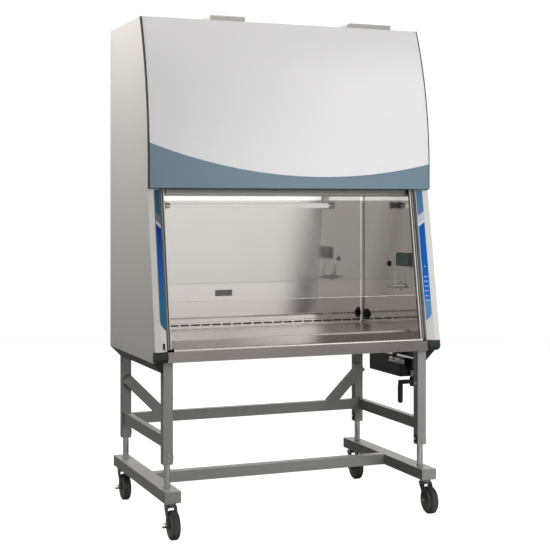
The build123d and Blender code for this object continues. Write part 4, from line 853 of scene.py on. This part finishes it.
plate_x, plate_z = -0.152, 0.995
data_plate = bmesh.new()
add_block(data_plate, (0.088, 0.0016, 0.030), (plate_x, back_inside - 0.0006, plate_z), 0.0006)
plate_dark = finish("plate_dark", (0.035, 0.036, 0.038), 0.35, drift=0.1, bump=0.05)
new_piece("chamber_plate", data_plate, plate_dark, "cabinet")
plate_rivets = bmesh.new()
for x in (plate_x - 0.040, plate_x + 0.040):
    add_screw(plate_rivets, (x, back_inside - 0.0012, plate_z), (0, -1, 0), 0.0022, 0.0012)
new_piece("chamber_plate_screws", plate_rivets, zinc, "cabinet")

# A black strip on the right wall where a slot shows dark: its black is painted shade in the slot.
wall_slot_shade = bmesh.new()
add_block(wall_slot_shade, (0.002, 0.008, 0.073), (0.6022, -0.2535, 1.1645), 0.0008)
new_piece("wall_slot_shade_strip", wall_slot_shade, seal_and_shade_black, "cabinet")
port_fill = bmesh.new()
post_port_x = -(post_corner_x + post_in_x) / 2
add_block(port_fill, (0.0125, 0.004, 0.0275), (post_port_x, -0.3565, 0.819), 0.001)
new_piece("post_port_plug", port_fill, seal_and_shade_black, "cabinet")


# ---------------------------------------------------------------- Lamp
# Quartz germicidal tube with metal end caps. Its faint glow is painted light that brightens
# the tube; the lamp is not lit. It clips into two plastic holders that are screwed to the back wall.
tube = finish("quartz_tube_painted_glow", (0.93, 0.92, 0.90), 0.14, drift=0.03, bump=0.01, coat=0.5)
tube_painted_glow_shader = tube.node_tree.nodes["Principled BSDF"]
# Painted light: a faint white emission brightens the tube as the light falling on it would.
tube_painted_glow_shader.inputs["Emission Color"].default_value = (1.0, 0.98, 0.95, 1)
tube_painted_glow_shader.inputs["Emission Strength"].default_value = 0.45
dress(tube, "uv_lamp")
holder_screw_xs = (-0.469, 0.414)
holder_white = finish("holder_white", (0.62, 0.61, 0.58), 0.45, drift=0.05, bump=0.1)
dress(holder_white, "lamp_holders")
lamp_low, lamp_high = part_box("uv_lamp")
lamp_mid = (lamp_low + lamp_high) / 2
caps = bmesh.new()
for side, end in ((1, lamp_low.x), (-1, lamp_high.x)):
    add_turned(caps, [(0.0133, 0), (0.0136, 0.001), (0.0136, 0.020), (0.0131, 0.0215)],
               facing_way((end, lamp_mid.y, lamp_mid.z), (side, 0, 0)), 32)
new_piece("lamp_end_caps", caps, rod_chrome, "cabinet")
clip_screws = bmesh.new()
for x in holder_screw_xs:
    for z in (-0.022, 0.022):
        add_screw(clip_screws, (x, back_inside - 0.0002, lamp_mid.z + z), (0, -1, 0), 0.004, 0.002)
new_piece("lamp_holder_screws", clip_screws, zinc, "cabinet")


# ---------------------------------------------------------------- Outlet, valve and plugs
# Black outlet frame with a glossy teal drip cover, a chromed service valve with a hose
# nozzle and lever, and black port plugs, all on the right wall.
teal_gloss = finish("teal_gloss", (0.008, 0.075, 0.078), 0.22, drift=0.3, bump=0.02, specular=0.25)
dress(black_moulding, "outlet", "port_plugs")
dress(teal_gloss, "outlet_cover")
valve_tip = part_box("service_valve")[0].x
valve_nut_x = 0.5617
valve_mid = Vector((0, -0.12875, 1.036))
barbs = bmesh.new()
for step in range(4):
    add_turned(barbs, [(0.0050, 0), (0.0062, 0.0006), (0.0050, 0.0042)],
               facing_way((valve_tip + 0.0015 + 0.0052 * step, valve_mid.y, valve_mid.z), (1, 0, 0)), 20)
add_turned(barbs, [(0.0118, 0), (0.0124, 0.001), (0.0124, 0.004), (0.0118, 0.005)],
           facing_way((valve_nut_x, valve_mid.y, valve_mid.z), (1, 0, 0)), 6)
new_piece("valve_barbs", barbs, rod_chrome, "cabinet")
knob = bmesh.new()
lever_low, lever_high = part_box("valve_lever")
add_turned(knob, [(0.0040, 0), (0.0052, 0.002), (0.0052, 0.006), (0.0030, 0.009)],
           facing_way(((lever_low.x + lever_high.x) / 2, lever_low.y + 0.001, valve_mid.z), (0, -1, 0)), 20)
new_piece("valve_lever_screw", knob, rod_chrome, "valve_handle")
outlet_y, contact_z, earth_z = -0.18075, 1.1655, 1.155
socket_parts = bmesh.new()
for y in (outlet_y - 0.0305, outlet_y + 0.0305):
    for across in (-0.006, 0.006):
        add_block(socket_parts, (0.0016, 0.0024, 0.008), (0.5935, y + across, contact_z), 0.0004)
    add_turned(socket_parts, [(0.0024, 0), (0.0024, 0.0014)],
               facing_way((0.5942, y, earth_z), (-1, 0, 0)), 12)
new_piece("outlet_contacts", socket_parts, zinc, "cabinet")


# ---------------------------------------------------------------- Air system
# Pleated filters of white glass paper in light frames, and a blower of galvanised sheet
# with its wheel. They sit behind the hood, above the chamber.
filter_white = finish("filter_white", (0.74, 0.73, 0.70), 0.8, drift=0.05, bump=0.3, grain_scale=160.0)
dress(filter_white, "hepa_filters")
fan_sheet = brushed("fan_sheet", (0.50, 0.52, 0.53), 0.42, (30.0, 1.0, 1.0), 0.15, 0.05)
dress(fan_sheet, "blower_housing", "blower_wheel")


# ---------------------------------------------------------------- Roof fittings
# Exhaust guard and service box of the same coated sheet as the shell, fixed to the roof
# with flat screws, and a moulded cord gland in the box's back.
roof_screws = bmesh.new()
screw_inset = 0.012  # from a sheet's edge to its screws
guard_low, guard_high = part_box("exhaust_guard")
for x in (guard_low.x + screw_inset, guard_high.x - screw_inset):
    for y in (guard_low.y + screw_inset, guard_high.y - screw_inset):
        add_screw(roof_screws, (x, y, guard_high.z - flat_sink), (0, 0, 1), 0.0045, flat_head)
box_low, box_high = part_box("service_box")
for x in (box_low.x + 0.065, box_high.x - screw_inset):
    for y in (box_low.y + screw_inset, box_high.y - 0.032):
        add_screw(roof_screws, (x, y, box_high.z - flat_sink), (0, 0, 1), 0.0045, flat_head)
new_piece("roof_screws", roof_screws, zinc, "cabinet")
gland = bmesh.new()
gland_mid = Vector((0.526, box_high.y - 0.020, 2.29))
add_bolt(gland, gland_mid, (0, 1, 0), 0.026, 0.008)
add_turned(gland, [(0.0108, 0), (0.0112, 0.001), (0.0112, 0.013), (0.0085, 0.0185)],
           facing_way(gland_mid, (0, 1, 0)), 28)
new_piece("cord_gland_nut", gland, black_moulding, "cabinet")
